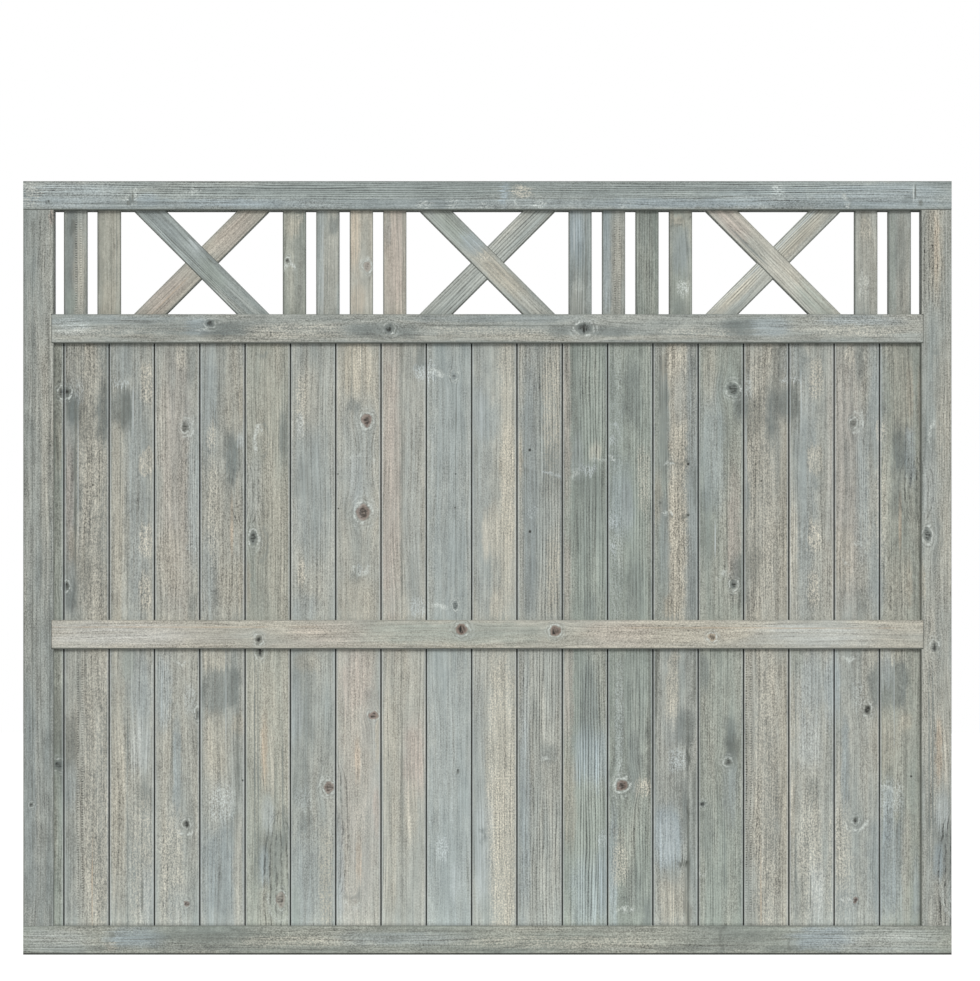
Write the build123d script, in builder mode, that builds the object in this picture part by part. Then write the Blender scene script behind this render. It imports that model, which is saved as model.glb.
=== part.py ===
from build123d import *
from math import ceil, radians, sin, tan
import os

os.makedirs("parts", exist_ok=True)

# A framed timber privacy panel: vertical tongue-and-groove boards below, an open lattice band above.
# X runs along the width, the front faces -Y, Z is up, and the origin is the bottom centre.

# Overall sizes
panel_width = 1800.0
panel_height = 1500.0
frame_thickness = 45.0

# Frame members
rail_height = 56.0
stile_width = 59.0
frame_arris = 2.0

# Grooves that hold the infill, and the room left in them
groove_depth = 14.0
groove_side_play = 0.25
infill_top_play = 2.0
tenon_end_play = 0.5

# Middle rails, let into housings in the stiles
mid_rail_height = 56.0
lattice_opening_height = 202.0
mid_rail_end_arris = 1.5
housing_depth = 4.5
housing_play = 0.2

# Tongue-and-groove boards
board_thickness = 16.0
board_pitch = 88.0
narrowest_strip = 15.0
board_face_gap = 2.5
board_arris = 1.0
board_edge_entry = 7.0
tongue_thickness = 5.0
tongue_reach = 6.0
tongue_side_play = 0.2
tongue_end_play = 1.0

# Lattice band
lath_width = 45.0
lath_arris = 1.0
lath_pitch = 65.0
lattice_end_gap = 18.5
least_gap_beside_cross = 5.0
cross_count = 3
cross_angle = 45.0
halving_play = 0.1

# Cylinder-head timber screws, sunk flush
screw_radius = 2.5
screw_head_radius = 4.0
screw_head_height = 3.5
screw_head_play = 0.2
screw_end_play = 1.0
screw_socket_radius = 2.0
screw_socket_depth = 1.5
screw_hole_play = 0.1
frame_screw_length = 100.0
mid_rail_screw_length = 80.0
batten_screw_cover = 5.0
boards_per_batten_screw = 4

# Levels
top_rail_bottom = panel_height - rail_height
mid_rail_top = top_rail_bottom - lattice_opening_height
mid_rail_bottom = mid_rail_top - mid_rail_height
mid_rail_middle = (mid_rail_top + mid_rail_bottom) / 2
batten_middle = (rail_height + mid_rail_bottom) / 2

# Half widths, measured from the panel's centre
half_width = panel_width / 2
half_opening = half_width - stile_width
half_mid_rail = half_opening + housing_depth - housing_play
half_tenoned_rail = half_opening + groove_depth - tenon_end_play
groove_width = board_thickness + 2 * groove_side_play

# Thickness of the battens on each side of the boards, and the screws that stop short of the front
batten_thickness = (frame_thickness - board_thickness) / 2
batten_screw_length = frame_thickness - batten_screw_cover
batten_screw_depth = batten_screw_length - board_thickness - batten_thickness + screw_end_play
frame_screw_depth = frame_screw_length - rail_height + groove_depth + screw_end_play

# Holes for the screws' shanks and heads
screw_hole_radius = screw_radius + screw_hole_play
screw_bore_radius = screw_head_radius + screw_head_play


def timber_screw(length):
    """One screw with its head flush on the XY plane, pointing down."""
    with BuildPart() as screw:
        with BuildSketch():
            Circle(screw_head_radius)
        extrude(amount=-screw_head_height)
        with BuildSketch():
            Circle(screw_radius)
        extrude(amount=-length)
        with BuildSketch():
            RegularPolygon(radius=screw_socket_radius, side_count=6)
        extrude(amount=-screw_socket_depth, mode=Mode.SUBTRACT)
    return screw.part


def save(piece, name):
    """Label a finished piece and write its file."""
    piece.part.label = name
    export_step(piece.part, f"parts/{name}.step")


# Each frame screw stands in the middle of the solid part of a stile's tenon
frame_screw_place = half_opening + (stile_width + groove_depth) / 2

# Joint lines between the boards: the right board is whole, the left one is ripped to fit
boarded_width = 2 * (half_opening + board_edge_entry)
board_count = ceil((boarded_width - narrowest_strip) / board_pitch)
last_joint = half_opening + board_edge_entry + board_face_gap / 2 - board_pitch
first_joint = last_joint - (board_count - 2) * board_pitch

# Some of the boards take a screw through the battens at their middle, evenly spaced from the third on
first_screwed_board = boards_per_batten_screw // 2
batten_screw_places = [
    first_joint + board_pitch * (step - 0.5)
    for step in range(first_screwed_board, board_count, boards_per_batten_screw)
]


# Top and bottom rails, grooved along the edge that faces the infill
def frame_rail(bottom, groove_floor, outer_plane):
    with BuildPart() as rail:
        with BuildSketch(Plane.YZ.offset(-half_width)) as profile:
            with Locations((0, bottom + rail_height / 2)):
                Rectangle(frame_thickness, rail_height)
            fillet(profile.vertices(), frame_arris)
            with Locations((0, groove_floor)):
                Rectangle(groove_width, 2 * groove_depth, mode=Mode.SUBTRACT)
        extrude(amount=panel_width)
        with Locations(outer_plane):
            with Locations((-frame_screw_place, 0), (frame_screw_place, 0)):
                CounterBoreHole(
                    radius=screw_hole_radius,
                    counter_bore_radius=screw_bore_radius,
                    counter_bore_depth=screw_head_height,
                    depth=rail_height,
                )
    return rail


top_plane = Plane.XY.offset(panel_height)
bottom_plane = Plane(origin=(0, 0, 0), x_dir=(1, 0, 0), z_dir=(0, 0, -1))
top_rail = frame_rail(top_rail_bottom, top_rail_bottom, top_plane)
save(top_rail, "top_rail")
bottom_rail = frame_rail(0, rail_height, bottom_plane)
save(bottom_rail, "bottom_rail")


# Stiles between the rails, with stub tenons in the rails' grooves, a stopped groove for the
# boards, and housings for the middle rail and the battens
def stile(side):
    inner_face = side * half_opening
    middle = side * (half_opening + stile_width / 2)
    with BuildPart() as post:
        with BuildSketch(Plane.XY.offset(rail_height)) as profile:
            with Locations((middle, 0)):
                Rectangle(stile_width, frame_thickness)
            fillet(profile.vertices(), frame_arris)
        extrude(amount=top_rail_bottom - rail_height)
        with BuildSketch(Plane.XY.offset(rail_height - groove_depth)):
            with Locations((middle, 0)):
                Rectangle(stile_width, board_thickness)
        extrude(amount=top_rail_bottom - rail_height + 2 * groove_depth)
        with BuildSketch(Plane.XY.offset(rail_height - groove_depth)):
            with Locations((inner_face, 0)):
                Rectangle(2 * groove_depth, groove_width)
        extrude(amount=mid_rail_top - rail_height + groove_depth, mode=Mode.SUBTRACT)
        for level in (batten_middle, mid_rail_middle):
            with BuildSketch(Plane.XY.offset(level - mid_rail_height / 2 - housing_play)):
                with Locations((inner_face, 0)):
                    Rectangle(2 * housing_depth, frame_thickness)
            extrude(amount=mid_rail_height + 2 * housing_play, mode=Mode.SUBTRACT)
        end_planes = (
            Plane.XY.offset(top_rail_bottom + groove_depth),
            Plane(origin=(0, 0, rail_height - groove_depth), x_dir=(1, 0, 0), z_dir=(0, 0, -1)),
        )
        for end_plane in end_planes:
            with Locations(end_plane):
                with Locations((side * frame_screw_place, 0)):
                    Hole(radius=screw_hole_radius, depth=frame_screw_depth)
        outer_face = Plane(origin=(side * half_width, 0, 0), x_dir=(0, 1, 0), z_dir=(side, 0, 0))
        with Locations(outer_face):
            with Locations((0, side * mid_rail_middle)):
                CounterBoreHole(
                    radius=screw_hole_radius,
                    counter_bore_radius=screw_bore_radius,
                    counter_bore_depth=screw_head_height,
                    depth=stile_width,
                )
    return post


left_stile = stile(-1)
save(left_stile, "left_stile")
right_stile = stile(1)
save(right_stile, "right_stile")

# Middle rail: grooved below for the boards and above for the laths, with a tenon at each end
with BuildPart() as mid_rail:
    with BuildSketch(Plane.YZ.offset(-half_mid_rail)) as profile:
        with Locations((0, mid_rail_middle)):
            Rectangle(frame_thickness, mid_rail_height)
        fillet(profile.vertices(), frame_arris)
    extrude(amount=2 * half_mid_rail)
    end_faces = mid_rail.faces().filter_by(Axis.X)
    chamfer(end_faces.edges(), mid_rail_end_arris)
    with BuildSketch(Plane.YZ.offset(-half_tenoned_rail)):
        with Locations((0, mid_rail_middle)):
            Rectangle(board_thickness, mid_rail_height - 2 * groove_depth)
    extrude(amount=2 * half_tenoned_rail)
    with BuildSketch(Plane.YZ.offset(-half_mid_rail)):
        with Locations((0, mid_rail_bottom), (0, mid_rail_top)):
            Rectangle(groove_width, 2 * groove_depth)
    extrude(amount=2 * half_mid_rail, mode=Mode.SUBTRACT)
    for side in (-1, 1):
        tenon_end = Plane(origin=(side * half_tenoned_rail, 0, 0), x_dir=(0, 1, 0), z_dir=(side, 0, 0))
        with Locations(tenon_end):
            with Locations((0, side * mid_rail_middle)):
                Hole(
                    radius=screw_hole_radius,
                    depth=mid_rail_screw_length - half_width + half_tenoned_rail + screw_end_play,
                )
save(mid_rail, "mid_rail")


# Battens that clamp the boards at half height, one in front and one behind
def batten(face_sign):
    middle = face_sign * (board_thickness + batten_thickness) / 2
    with BuildPart() as strip:
        with BuildSketch(Plane.YZ.offset(-half_mid_rail)) as profile:
            with Locations((middle, batten_middle)):
                Rectangle(batten_thickness, mid_rail_height)
            face_corners = profile.vertices().sort_by(Axis.Y)
            outer_corners = face_corners[-2:] if face_sign > 0 else face_corners[:2]
            fillet(outer_corners, frame_arris)
        extrude(amount=2 * half_mid_rail)
        end_edges = strip.faces().filter_by(Axis.X).edges().filter_by(Axis.Z)
        outer_edges = end_edges.group_by(Axis.Y)[-1 if face_sign > 0 else 0]
        chamfer(outer_edges, mid_rail_end_arris)
    return strip


batten_back_face = Plane(
    origin=(0, frame_thickness / 2, batten_middle), x_dir=(-1, 0, 0), z_dir=(0, 1, 0)
)
batten_front = batten(-1)
with batten_front:
    with Locations(Plane(origin=(0, -board_thickness / 2, batten_middle), x_dir=(-1, 0, 0), z_dir=(0, 1, 0))):
        with Locations(*[(-place, 0) for place in batten_screw_places]):
            Hole(radius=screw_hole_radius, depth=batten_screw_depth)
save(batten_front, "batten_front")

batten_back = batten(1)
with batten_back:
    with Locations(batten_back_face):
        with Locations(*[(-place, 0) for place in batten_screw_places]):
            CounterBoreHole(
                radius=screw_hole_radius,
                counter_bore_radius=screw_bore_radius,
                counter_bore_depth=screw_head_height,
                depth=batten_thickness,
            )
save(batten_back, "batten_back")

# Tongue-and-groove boards, standing in the bottom rail's groove and ending in the middle rail's
board_bottom = rail_height - groove_depth
board_length = mid_rail_bottom + groove_depth - infill_top_play - board_bottom
tongue_length = board_face_gap + tongue_reach
for index in range(board_count):
    board_left = first_joint + (index - 1) * board_pitch + board_face_gap / 2
    board_right = board_left + board_pitch - board_face_gap
    is_first = index == 0
    if is_first:
        board_left = -half_opening - board_edge_entry
    with BuildPart() as board:
        with BuildSketch(Plane.XY.offset(board_bottom)) as profile:
            with Locations(((board_left + board_right) / 2, 0)):
                Rectangle(board_right - board_left, board_thickness)
            chamfer(profile.vertices(), board_arris)
            if not is_first:
                with Locations((board_left, 0)):
                    Rectangle(tongue_length, tongue_thickness, align=(Align.MAX, Align.CENTER))
            with Locations((board_right, 0)):
                Rectangle(
                    tongue_reach + tongue_end_play,
                    tongue_thickness + 2 * tongue_side_play,
                    align=(Align.MAX, Align.CENTER),
                    mode=Mode.SUBTRACT,
                )
        extrude(amount=board_length)
        screws_in_board = [place for place in batten_screw_places if board_left < place < board_right]
        if screws_in_board:
            with Locations(Plane(origin=(screws_in_board[0], 0, batten_middle), z_dir=(0, 1, 0))):
                Hole(radius=screw_hole_radius)
    save(board, f"board_{index + 1:02d}")

# Lattice band: crosses evenly spaced, with a group of upright laths centred between each two of
# them and half a group beyond each outer one
lath_bottom = mid_rail_top - groove_depth
lath_top = top_rail_bottom + groove_depth - infill_top_play
cross_middle = (mid_rail_top + top_rail_bottom) / 2
cross_drop = cross_middle - lath_bottom
cross_rise = lath_top - cross_middle
cross_lean = 1 / tan(radians(cross_angle))
half_slanted_cut = lath_width / 2 / sin(radians(cross_angle))
half_cross_width = cross_drop * cross_lean + half_slanted_cut
half_pattern = half_opening - lattice_end_gap - lath_width / 2 + lath_pitch / 2
cross_pitch = 2 * half_pattern / cross_count
half_group_room = cross_pitch / 2 - half_cross_width - least_gap_beside_cross
laths_per_half_group = int((half_group_room + (lath_pitch - lath_width) / 2) / lath_pitch)
group_centres = [cross_pitch * step - half_pattern for step in range(cross_count + 1)]
group_offsets = [lath_pitch * (step + 0.5) for step in range(-laths_per_half_group, laths_per_half_group)]
lath_places = [
    centre + offset
    for centre in group_centres
    for offset in group_offsets
    if abs(centre + offset) < half_pattern
]
for index, place in enumerate(lath_places):
    with BuildPart() as lath:
        with BuildSketch(Plane.XY.offset(lath_bottom)) as profile:
            with Locations((place, 0)):
                Rectangle(lath_width, board_thickness)
            chamfer(profile.vertices(), lath_arris)
        extrude(amount=lath_top - lath_bottom)
    save(lath, f"lath_{index + 1:02d}")


# Diagonal bars, halved into each other where they cross
def cross_bar(centre, side):
    """A bar that falls to the right with side 1 and rises with side -1; the falling one shows whole."""
    top = centre - side * cross_rise * cross_lean
    foot = centre + side * cross_drop * cross_lean
    with BuildPart() as bar:
        with BuildSketch(Plane.XZ):
            with BuildLine():
                Polyline(
                    (top - half_slanted_cut, lath_top),
                    (top + half_slanted_cut, lath_top),
                    (foot + half_slanted_cut, lath_bottom),
                    (foot - half_slanted_cut, lath_bottom),
                    close=True,
                )
            make_face()
        extrude(amount=board_thickness / 2, both=True)
        long_edges = bar.edges().filter_by(Axis((0, 0, 0), (side * cross_lean, 0, -1)))
        chamfer(long_edges, lath_arris)
        with BuildSketch(Plane.XZ):
            with Locations((centre, cross_middle)):
                Rectangle(
                    panel_height,
                    lath_width + 2 * halving_play,
                    rotation=cross_angle * side,
                )
        extrude(amount=-side * board_thickness, mode=Mode.SUBTRACT)
    return bar


for index in range(cross_count):
    centre = group_centres[index] + cross_pitch / 2
    falling_bar = cross_bar(centre, 1)
    save(falling_bar, f"cross_{index + 1}_falling_bar")
    rising_bar = cross_bar(centre, -1)
    save(rising_bar, f"cross_{index + 1}_rising_bar")

# Screws: through the rails into the stiles, through the stiles into the middle rail, and
# through the back batten and the boards into the front batten
with BuildPart() as frame_screws:
    for end_plane in (top_plane, bottom_plane):
        with Locations(end_plane):
            with Locations((-frame_screw_place, 0), (frame_screw_place, 0)):
                add(timber_screw(frame_screw_length))
save(frame_screws, "frame_screws")

with BuildPart() as mid_rail_screws:
    for side in (-1, 1):
        outer_face = Plane(origin=(side * half_width, 0, 0), x_dir=(0, 1, 0), z_dir=(side, 0, 0))
        with Locations(outer_face):
            with Locations((0, side * mid_rail_middle)):
                add(timber_screw(mid_rail_screw_length))
save(mid_rail_screws, "mid_rail_screws")

with BuildPart() as batten_screws:
    with Locations(batten_back_face):
        with Locations(*[(-place, 0) for place in batten_screw_places]):
            add(timber_screw(batten_screw_length))
save(batten_screws, "batten_screws")
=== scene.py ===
from math import cos, radians, sin

import bpy
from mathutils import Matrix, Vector


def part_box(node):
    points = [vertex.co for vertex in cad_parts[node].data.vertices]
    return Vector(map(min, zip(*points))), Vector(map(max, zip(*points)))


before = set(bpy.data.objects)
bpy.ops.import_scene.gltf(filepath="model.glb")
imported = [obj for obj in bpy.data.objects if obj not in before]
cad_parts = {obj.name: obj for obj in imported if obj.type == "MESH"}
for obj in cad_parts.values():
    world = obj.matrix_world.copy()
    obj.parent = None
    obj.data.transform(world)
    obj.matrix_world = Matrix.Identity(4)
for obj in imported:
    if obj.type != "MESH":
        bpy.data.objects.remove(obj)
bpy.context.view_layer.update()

# The camera looks level at the panel, from in front of this point; the picture is shifted up from there
MM = 0.001
VIEW_POINT_X = 5 * MM
VIEW_POINT_Z = 520 * MM
PICTURE_MIDDLE_Z = 900 * MM
VIEW_DISTANCE = 8.5
FRONT_FACE_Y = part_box("top_rail")[0].y
BOARD_FACE_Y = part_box("board_02")[0].y

# The photo's frame in pixels, and the length that one pixel covers at the frame's front face
PHOTO_WIDTH = 980
PHOTO_MIDDLE_COLUMN = 490.0
PHOTO_MIDDLE_ROW = 490.5
MM_PER_PIXEL = 1.9406
VIEW_POINT_ROW = PHOTO_MIDDLE_ROW + (PICTURE_MIDDLE_Z - VIEW_POINT_Z) / MM / MM_PER_PIXEL
SENSOR_WIDTH_MM = 36

# Colours of the weathered timber and the steel, as seen on screen
PALETTE = {
    "cool_ground": (151, 159, 156),
    "green_ground": (150, 158, 150),
    "warm_ground": (172, 168, 155),
    "blue_grey": (146, 155, 155),
    "green_grey": (146, 155, 147),
    "beige": (176, 171, 156),
    "cream": (200, 195, 180),
    "pink": (180, 168, 158),
    "orange": (188, 169, 146),
    "slate": (111, 119, 117),
    "dark": (98, 102, 96),
    "pale": (186, 194, 194),
    "white": (208, 214, 209),
    "pale_blue": (161, 174, 179),
    "rust": (128, 96, 84),
    "ink": (38, 38, 35),
    "steel": (150, 150, 146),
}


def linear(name):
    """A palette colour in linear light, with alpha."""
    channels = [value / 255 for value in PALETTE[name]]
    return tuple(c / 12.92 if c < 0.04045 else ((c + 0.055) / 1.055) ** 2.4 for c in channels) + (1.0,)


# Where a Mix node keeps its two colours and its result
FIRST_COLOUR = 6
SECOND_COLOUR = 7
MIXED_COLOUR = 2


# Adds nodes to one tree; an input is a socket to link, or a plain value to set
class Nodes:
    def __init__(self, tree):
        self.tree = tree

    def outputs(self, kind, inputs, **settings):
        """The outputs of a new node."""
        node = self.tree.nodes.new(kind)
        for name, value in settings.items():
            setattr(node, name, value)
        for key, value in inputs.items():
            if isinstance(value, bpy.types.NodeSocket):
                self.tree.links.new(value, node.inputs[key])
            else:
                node.inputs[key].default_value = value
        return node.outputs

    def add(self, kind, inputs, output=0, **settings):
        return self.outputs(kind, inputs, **settings)[output]

    def group(self, tree, inputs):
        return self.outputs("ShaderNodeGroup", inputs, node_tree=tree)

    def math(self, operation, first, second=0.0, third=0.0, clamp=False):
        inputs = {0: first, 1: second, 2: third}
        return self.add("ShaderNodeMath", inputs, operation=operation, use_clamp=clamp)

    def total(self, *terms):
        value = terms[0]
        for term in terms[1:]:
            value = self.math("ADD", value, term)
        return value

    def less(self, first, second):
        return self.math("SUBTRACT", first, second)

    def times(self, *factors):
        """The factors multiplied in pairs, from the left."""
        value = factors[0]
        for factor in factors[1:]:
            value = self.math("MULTIPLY", value, factor)
        return value

    def times_plus(self, first, second, third):
        return self.math("MULTIPLY_ADD", first, second, third)

    def about_zero(self, value, size):
        """A noise value from 0 to 1, made to swing about zero by size each way."""
        return self.times_plus(value, 2 * size, -size)

    def there_and_back(self, value):
        """A wave that climbs from 0 to 0.5 and falls back, once for each whole number."""
        return self.math("PINGPONG", value, 0.5)

    def vector(self, x, y, z):
        return self.add("ShaderNodeCombineXYZ", {0: x, 1: y, 2: z})

    def noise(self, vector, detail, roughness=0.55, output="Fac"):
        inputs = {"Vector": vector, "Scale": 1.0, "Detail": detail, "Roughness": roughness}
        return self.add("ShaderNodeTexNoise", inputs, output)

    def ramp(self, value, low, high, out_low=0.0, out_high=1.0):
        inputs = {"Value": value, "From Min": low, "From Max": high, "To Min": out_low, "To Max": out_high}
        return self.add("ShaderNodeMapRange", inputs, interpolation_type="SMOOTHSTEP")

    def mix(self, factor, first, second):
        inputs = {0: factor, FIRST_COLOUR: first, SECOND_COLOUR: second}
        return self.add("ShaderNodeMix", inputs, MIXED_COLOUR, data_type="RGBA")

    def paint(self, colour, name, factor):
        """The colour, with this much of a palette colour over it."""
        return self.mix(factor, colour, linear(name))

    def surface(self, colour, roughness, relief, bump_strength, bump_distance, plain):
        """The material's output; plain holds the values that are the same all over."""
        inputs = {"Strength": bump_strength, "Distance": bump_distance, "Height": relief}
        bump = self.add("ShaderNodeBump", inputs)
        inputs = {"Base Color": colour, "Roughness": roughness, "Normal": bump, **plain}
        self.outputs("ShaderNodeOutputMaterial", {0: self.add("ShaderNodeBsdfPrincipled", inputs)})


def make_group(name, inputs, build):
    """A node group with float inputs of these names, whose outputs are what build makes of them."""
    tree = bpy.data.node_groups.new(name, "ShaderNodeTree")
    for socket in inputs:
        tree.interface.new_socket(socket, in_out="INPUT", socket_type="NodeSocketFloat")
    n = Nodes(tree)
    results = build(n, n.outputs("NodeGroupInput", {}))
    for socket in results:
        tree.interface.new_socket(socket, in_out="OUTPUT", socket_type="NodeSocketFloat")
    n.outputs("NodeGroupOutput", results)
    return tree


# Each seed moves the grain by this many millimetres, through the depth and along the piece
SEED_DEPTH = 53.0
SEED_LENGTH = 731.0


def build_grain(n, given):
    """The plain grain of a piece; across, along and depth are millimetres in the piece's own directions."""
    depth = n.times_plus(given["Seed"], SEED_DEPTH, given["Depth"])
    along = n.times_plus(given["Seed"], SEED_LENGTH, given["Along"])

    def sample(across, width, length, detail, roughness=0.55):
        """Noise in spots of about this width and length in millimetres."""
        place = n.vector(n.times(across, 1 / width), n.times(along, 1 / length), n.times(depth, 1 / width))
        return n.noise(place, detail, roughness)

    wander = sample(given["Across"], width=70.0, length=420.0, detail=1.0)
    across = n.total(given["Across"], n.about_zero(wander, 9.0))
    fine = sample(across, width=2.0, length=130.0, detail=2.0, roughness=0.6)
    coarse = sample(across, width=6.5, length=300.0, detail=1.0, roughness=0.6)
    streak = n.total(n.times(fine, 0.65), n.times(coarse, 0.35))
    band = sample(across, width=13.0, length=420.0, detail=2.0)
    ring = n.math("DIVIDE", n.total(across, n.times(wander, 30.0)), given["Spacing"])
    growth = n.times(n.ramp(n.there_and_back(ring), 0.32, 0.5), n.ramp(band, 0.44, 0.60))
    dots = sample(given["Across"], width=2.3, length=3.4, detail=2.0, roughness=0.7)
    dashes = sample(given["Across"], width=2.2, length=15.0, detail=2.0, roughness=0.65)
    speckle = n.total(n.times(dots, 0.72), n.times(dashes, 0.28))
    return {
        "Streak": n.ramp(streak, 0.33, 0.67),
        "Band": band,
        "Tone": sample(across, width=40.0, length=260.0, detail=2.0),
        "Cloud": sample(given["Across"], width=20.0, length=46.0, detail=3.0, roughness=0.62),
        "Growth": growth,
        "Speckle": speckle,
        "Fleck": n.about_zero(speckle, 1.0),
    }


# What the group of each mark is given: a point, and the mark's middle and half sizes
PLACE = ("Across", "Along", "Centre across", "Centre along", "Half width", "Half length")


def ratios(n, given, half_width, half_length):
    """How far the point lies from the middle, across and along, in these half sizes."""
    across = n.math("DIVIDE", n.less(given["Across"], given["Centre across"]), half_width)
    along = n.math("DIVIDE", n.less(given["Along"], given["Centre along"]), half_length)
    return across, along


def own_ratios(n, given):
    """The ratios in the mark's own half sizes, and how far out the point lies: 1 on the mark's oval."""
    across, along = ratios(n, given, given["Half width"], given["Half length"])
    return across, along, n.math("SQRT", n.total(n.times(across, across), n.times(along, along)))


def build_area(n, given):
    """How far inside a soft-edged rounded box a point lies: 1 in the middle, 0 outside."""
    cubes = [
        n.math("POWER", n.math("ABSOLUTE", ratio), 3.0)
        for ratio in ratios(n, given, given["Half width"], given["Half length"])
    ]
    reach = n.total(n.math("POWER", n.total(*cubes), 1 / 3), given["Wobble"])
    return {"Inside": n.ramp(reach, n.total(1.0, given["Edge"]), n.less(1.0, given["Edge"]))}


def build_knot(n, given):
    """A knot's dark heart, the disc round that, the pale rings outside it and the soft shade further out."""
    reach = n.total(own_ratios(n, given)[2], given["Wobble"])

    def hoop(middle, half):
        return n.ramp(n.math("ABSOLUTE", n.less(reach, middle)), half, 0.0)

    return {
        "Heart": n.ramp(reach, 0.95, 0.4),
        "Disc": n.ramp(reach, 1.2, 0.85),
        "Rim": n.math("MAXIMUM", hoop(1.08, 0.2), n.times(hoop(1.78, 0.3), 0.5)),
        "Ring": n.math("MAXIMUM", hoop(1.4, 0.4), n.times(hoop(2.1, 0.4), 0.35)),
        "Shade": n.ramp(reach, 3.2, 1.4),
    }


def build_flow(n, given):
    """The place across that the grain sees, squeezed towards a knot so that the lines flow round it."""
    half_sizes = n.times(given["Half width"], 2.4), n.times(given["Half length"], 2.6)
    across, along = ratios(n, given, *half_sizes)
    squared = n.total(n.times(across, across), n.times(along, along))
    near = n.math("EXPONENT", n.times(squared, -1.0))
    kept = n.times_plus(near, -0.82, 1.0)
    offset = n.less(given["Across"], given["Centre across"])
    return {"Across": n.times_plus(offset, kept, given["Centre across"])}


def build_loops(n, given):
    """Grain lines that bulge round a branch and meet again at both ends."""
    across, along, reach = own_ratios(n, given)
    room = n.math("MAXIMUM", n.less(1.0, n.times(along, along)), 0.06)
    bulge = n.math("DIVIDE", across, n.math("SQRT", room))
    uneven = n.times_plus(given["Wobble"], 0.35, bulge)
    ridge = n.there_and_back(n.times(uneven, given["Count"]))
    inside = n.ramp(n.total(reach, n.times(given["Wobble"], 0.3)), 1.1, 0.9)
    return {"Line": n.times(n.ramp(ridge, 0.22, 0.5), inside)}


def build_arc(n, given):
    """A piece of an oval hoop, from its middle angle out to a spread on each side."""
    across, along, reach = own_ratios(n, given)
    band = n.ramp(n.math("ABSOLUTE", n.less(reach, 1.0)), given["Thickness"], 0.0)
    facing = n.total(n.times(across, given["Toward across"]), n.times(along, given["Toward along"]))
    lean = n.math("DIVIDE", facing, n.math("MAXIMUM", reach, 0.01))
    return {"On": n.times(band, n.ramp(lean, given["Spread"], n.times_plus(given["Spread"], 0.7, 0.3)))}


grain_tree = make_group("timber_grain", ("Across", "Along", "Depth", "Seed", "Spacing"), build_grain)
area_tree = make_group("area", PLACE + ("Edge", "Wobble"), build_area)
knot_tree = make_group("knot", PLACE + ("Wobble",), build_knot)
flow_tree = make_group("flow_round_knot", PLACE, build_flow)
loops_tree = make_group("nested_loops", PLACE + ("Count", "Wobble"), build_loops)
ARC_SETTINGS = ("Toward across", "Toward along", "Spread", "Thickness")
arc_tree = make_group("arc", PLACE + ARC_SETTINGS, build_arc)


# Marks on a piece. Columns, rows, widths and heights are pixels of the photo; a mark's size is its full size.
def mark_maker(kind, **settings):
    """A function that makes a mark from its place and size, and then its own settings in this order."""
    def make(column, row, width, height, *values):
        own = {**settings, **dict(zip(settings, values))}
        return dict(kind=kind, column=column, row=row, width=width, height=height, **own)
    return make


patch = mark_maker("patch", colour="slate", strength=0.6, edge=0.5)
speckle = mark_maker("speckle", colour="cream", strength=0.7, edge=0.3)
lines = mark_maker("lines", spacing=7.0, strength=0.3)
ladder = mark_maker("ladder", strength=0.5)
loops = mark_maker("loops", count=4, strength=0.3)
knot = mark_maker("knot", heart="dark", heart_strength=0.9, ring_strength=0.7)
crack = mark_maker("crack", colour="dark", strength=0.7)
arc = mark_maker("arc", toward=0, spread=60, colour="pale", strength=0.6, thickness=0.25)


def dot(column, row, size=1.6):
    return patch(column, row, size, size, "ink", 0.9)


# A mark no wider than this has a clean outline
LARGEST_DOT = 3

# The outline of other marks wanders this far, in spots of this size, all in millimetres
RAGGED_ACROSS = 5.0
RAGGED_ALONG = 7.0
RAGGED_WIDTH = 9.0
RAGGED_LENGTH = 14.0

# A ladder mark's column and rung spacing in millimetres
LADDER_COLUMN = 8.8
LADDER_RUNG = 4.6

# An arc is this much thicker than its mark says, and a knot darkens the wood around it this strongly
ARC_THICKENING = 1.5
KNOT_SHADE = 0.15

# Pale and warm patches bring out the grain and the others smooth it, unless they are narrow
GRANULAR_COLOURS = ("beige", "cream", "pink")
MORE_GRAIN = 0.25
LESS_GRAIN = -0.35
SMALL_MARK = 6

# Growth rings are this many millimetres apart and this dark, and broad bands are this strong
GROWTH_SPACING = 9.0
GROWTH = 0.2
BAND = 0.12


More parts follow.
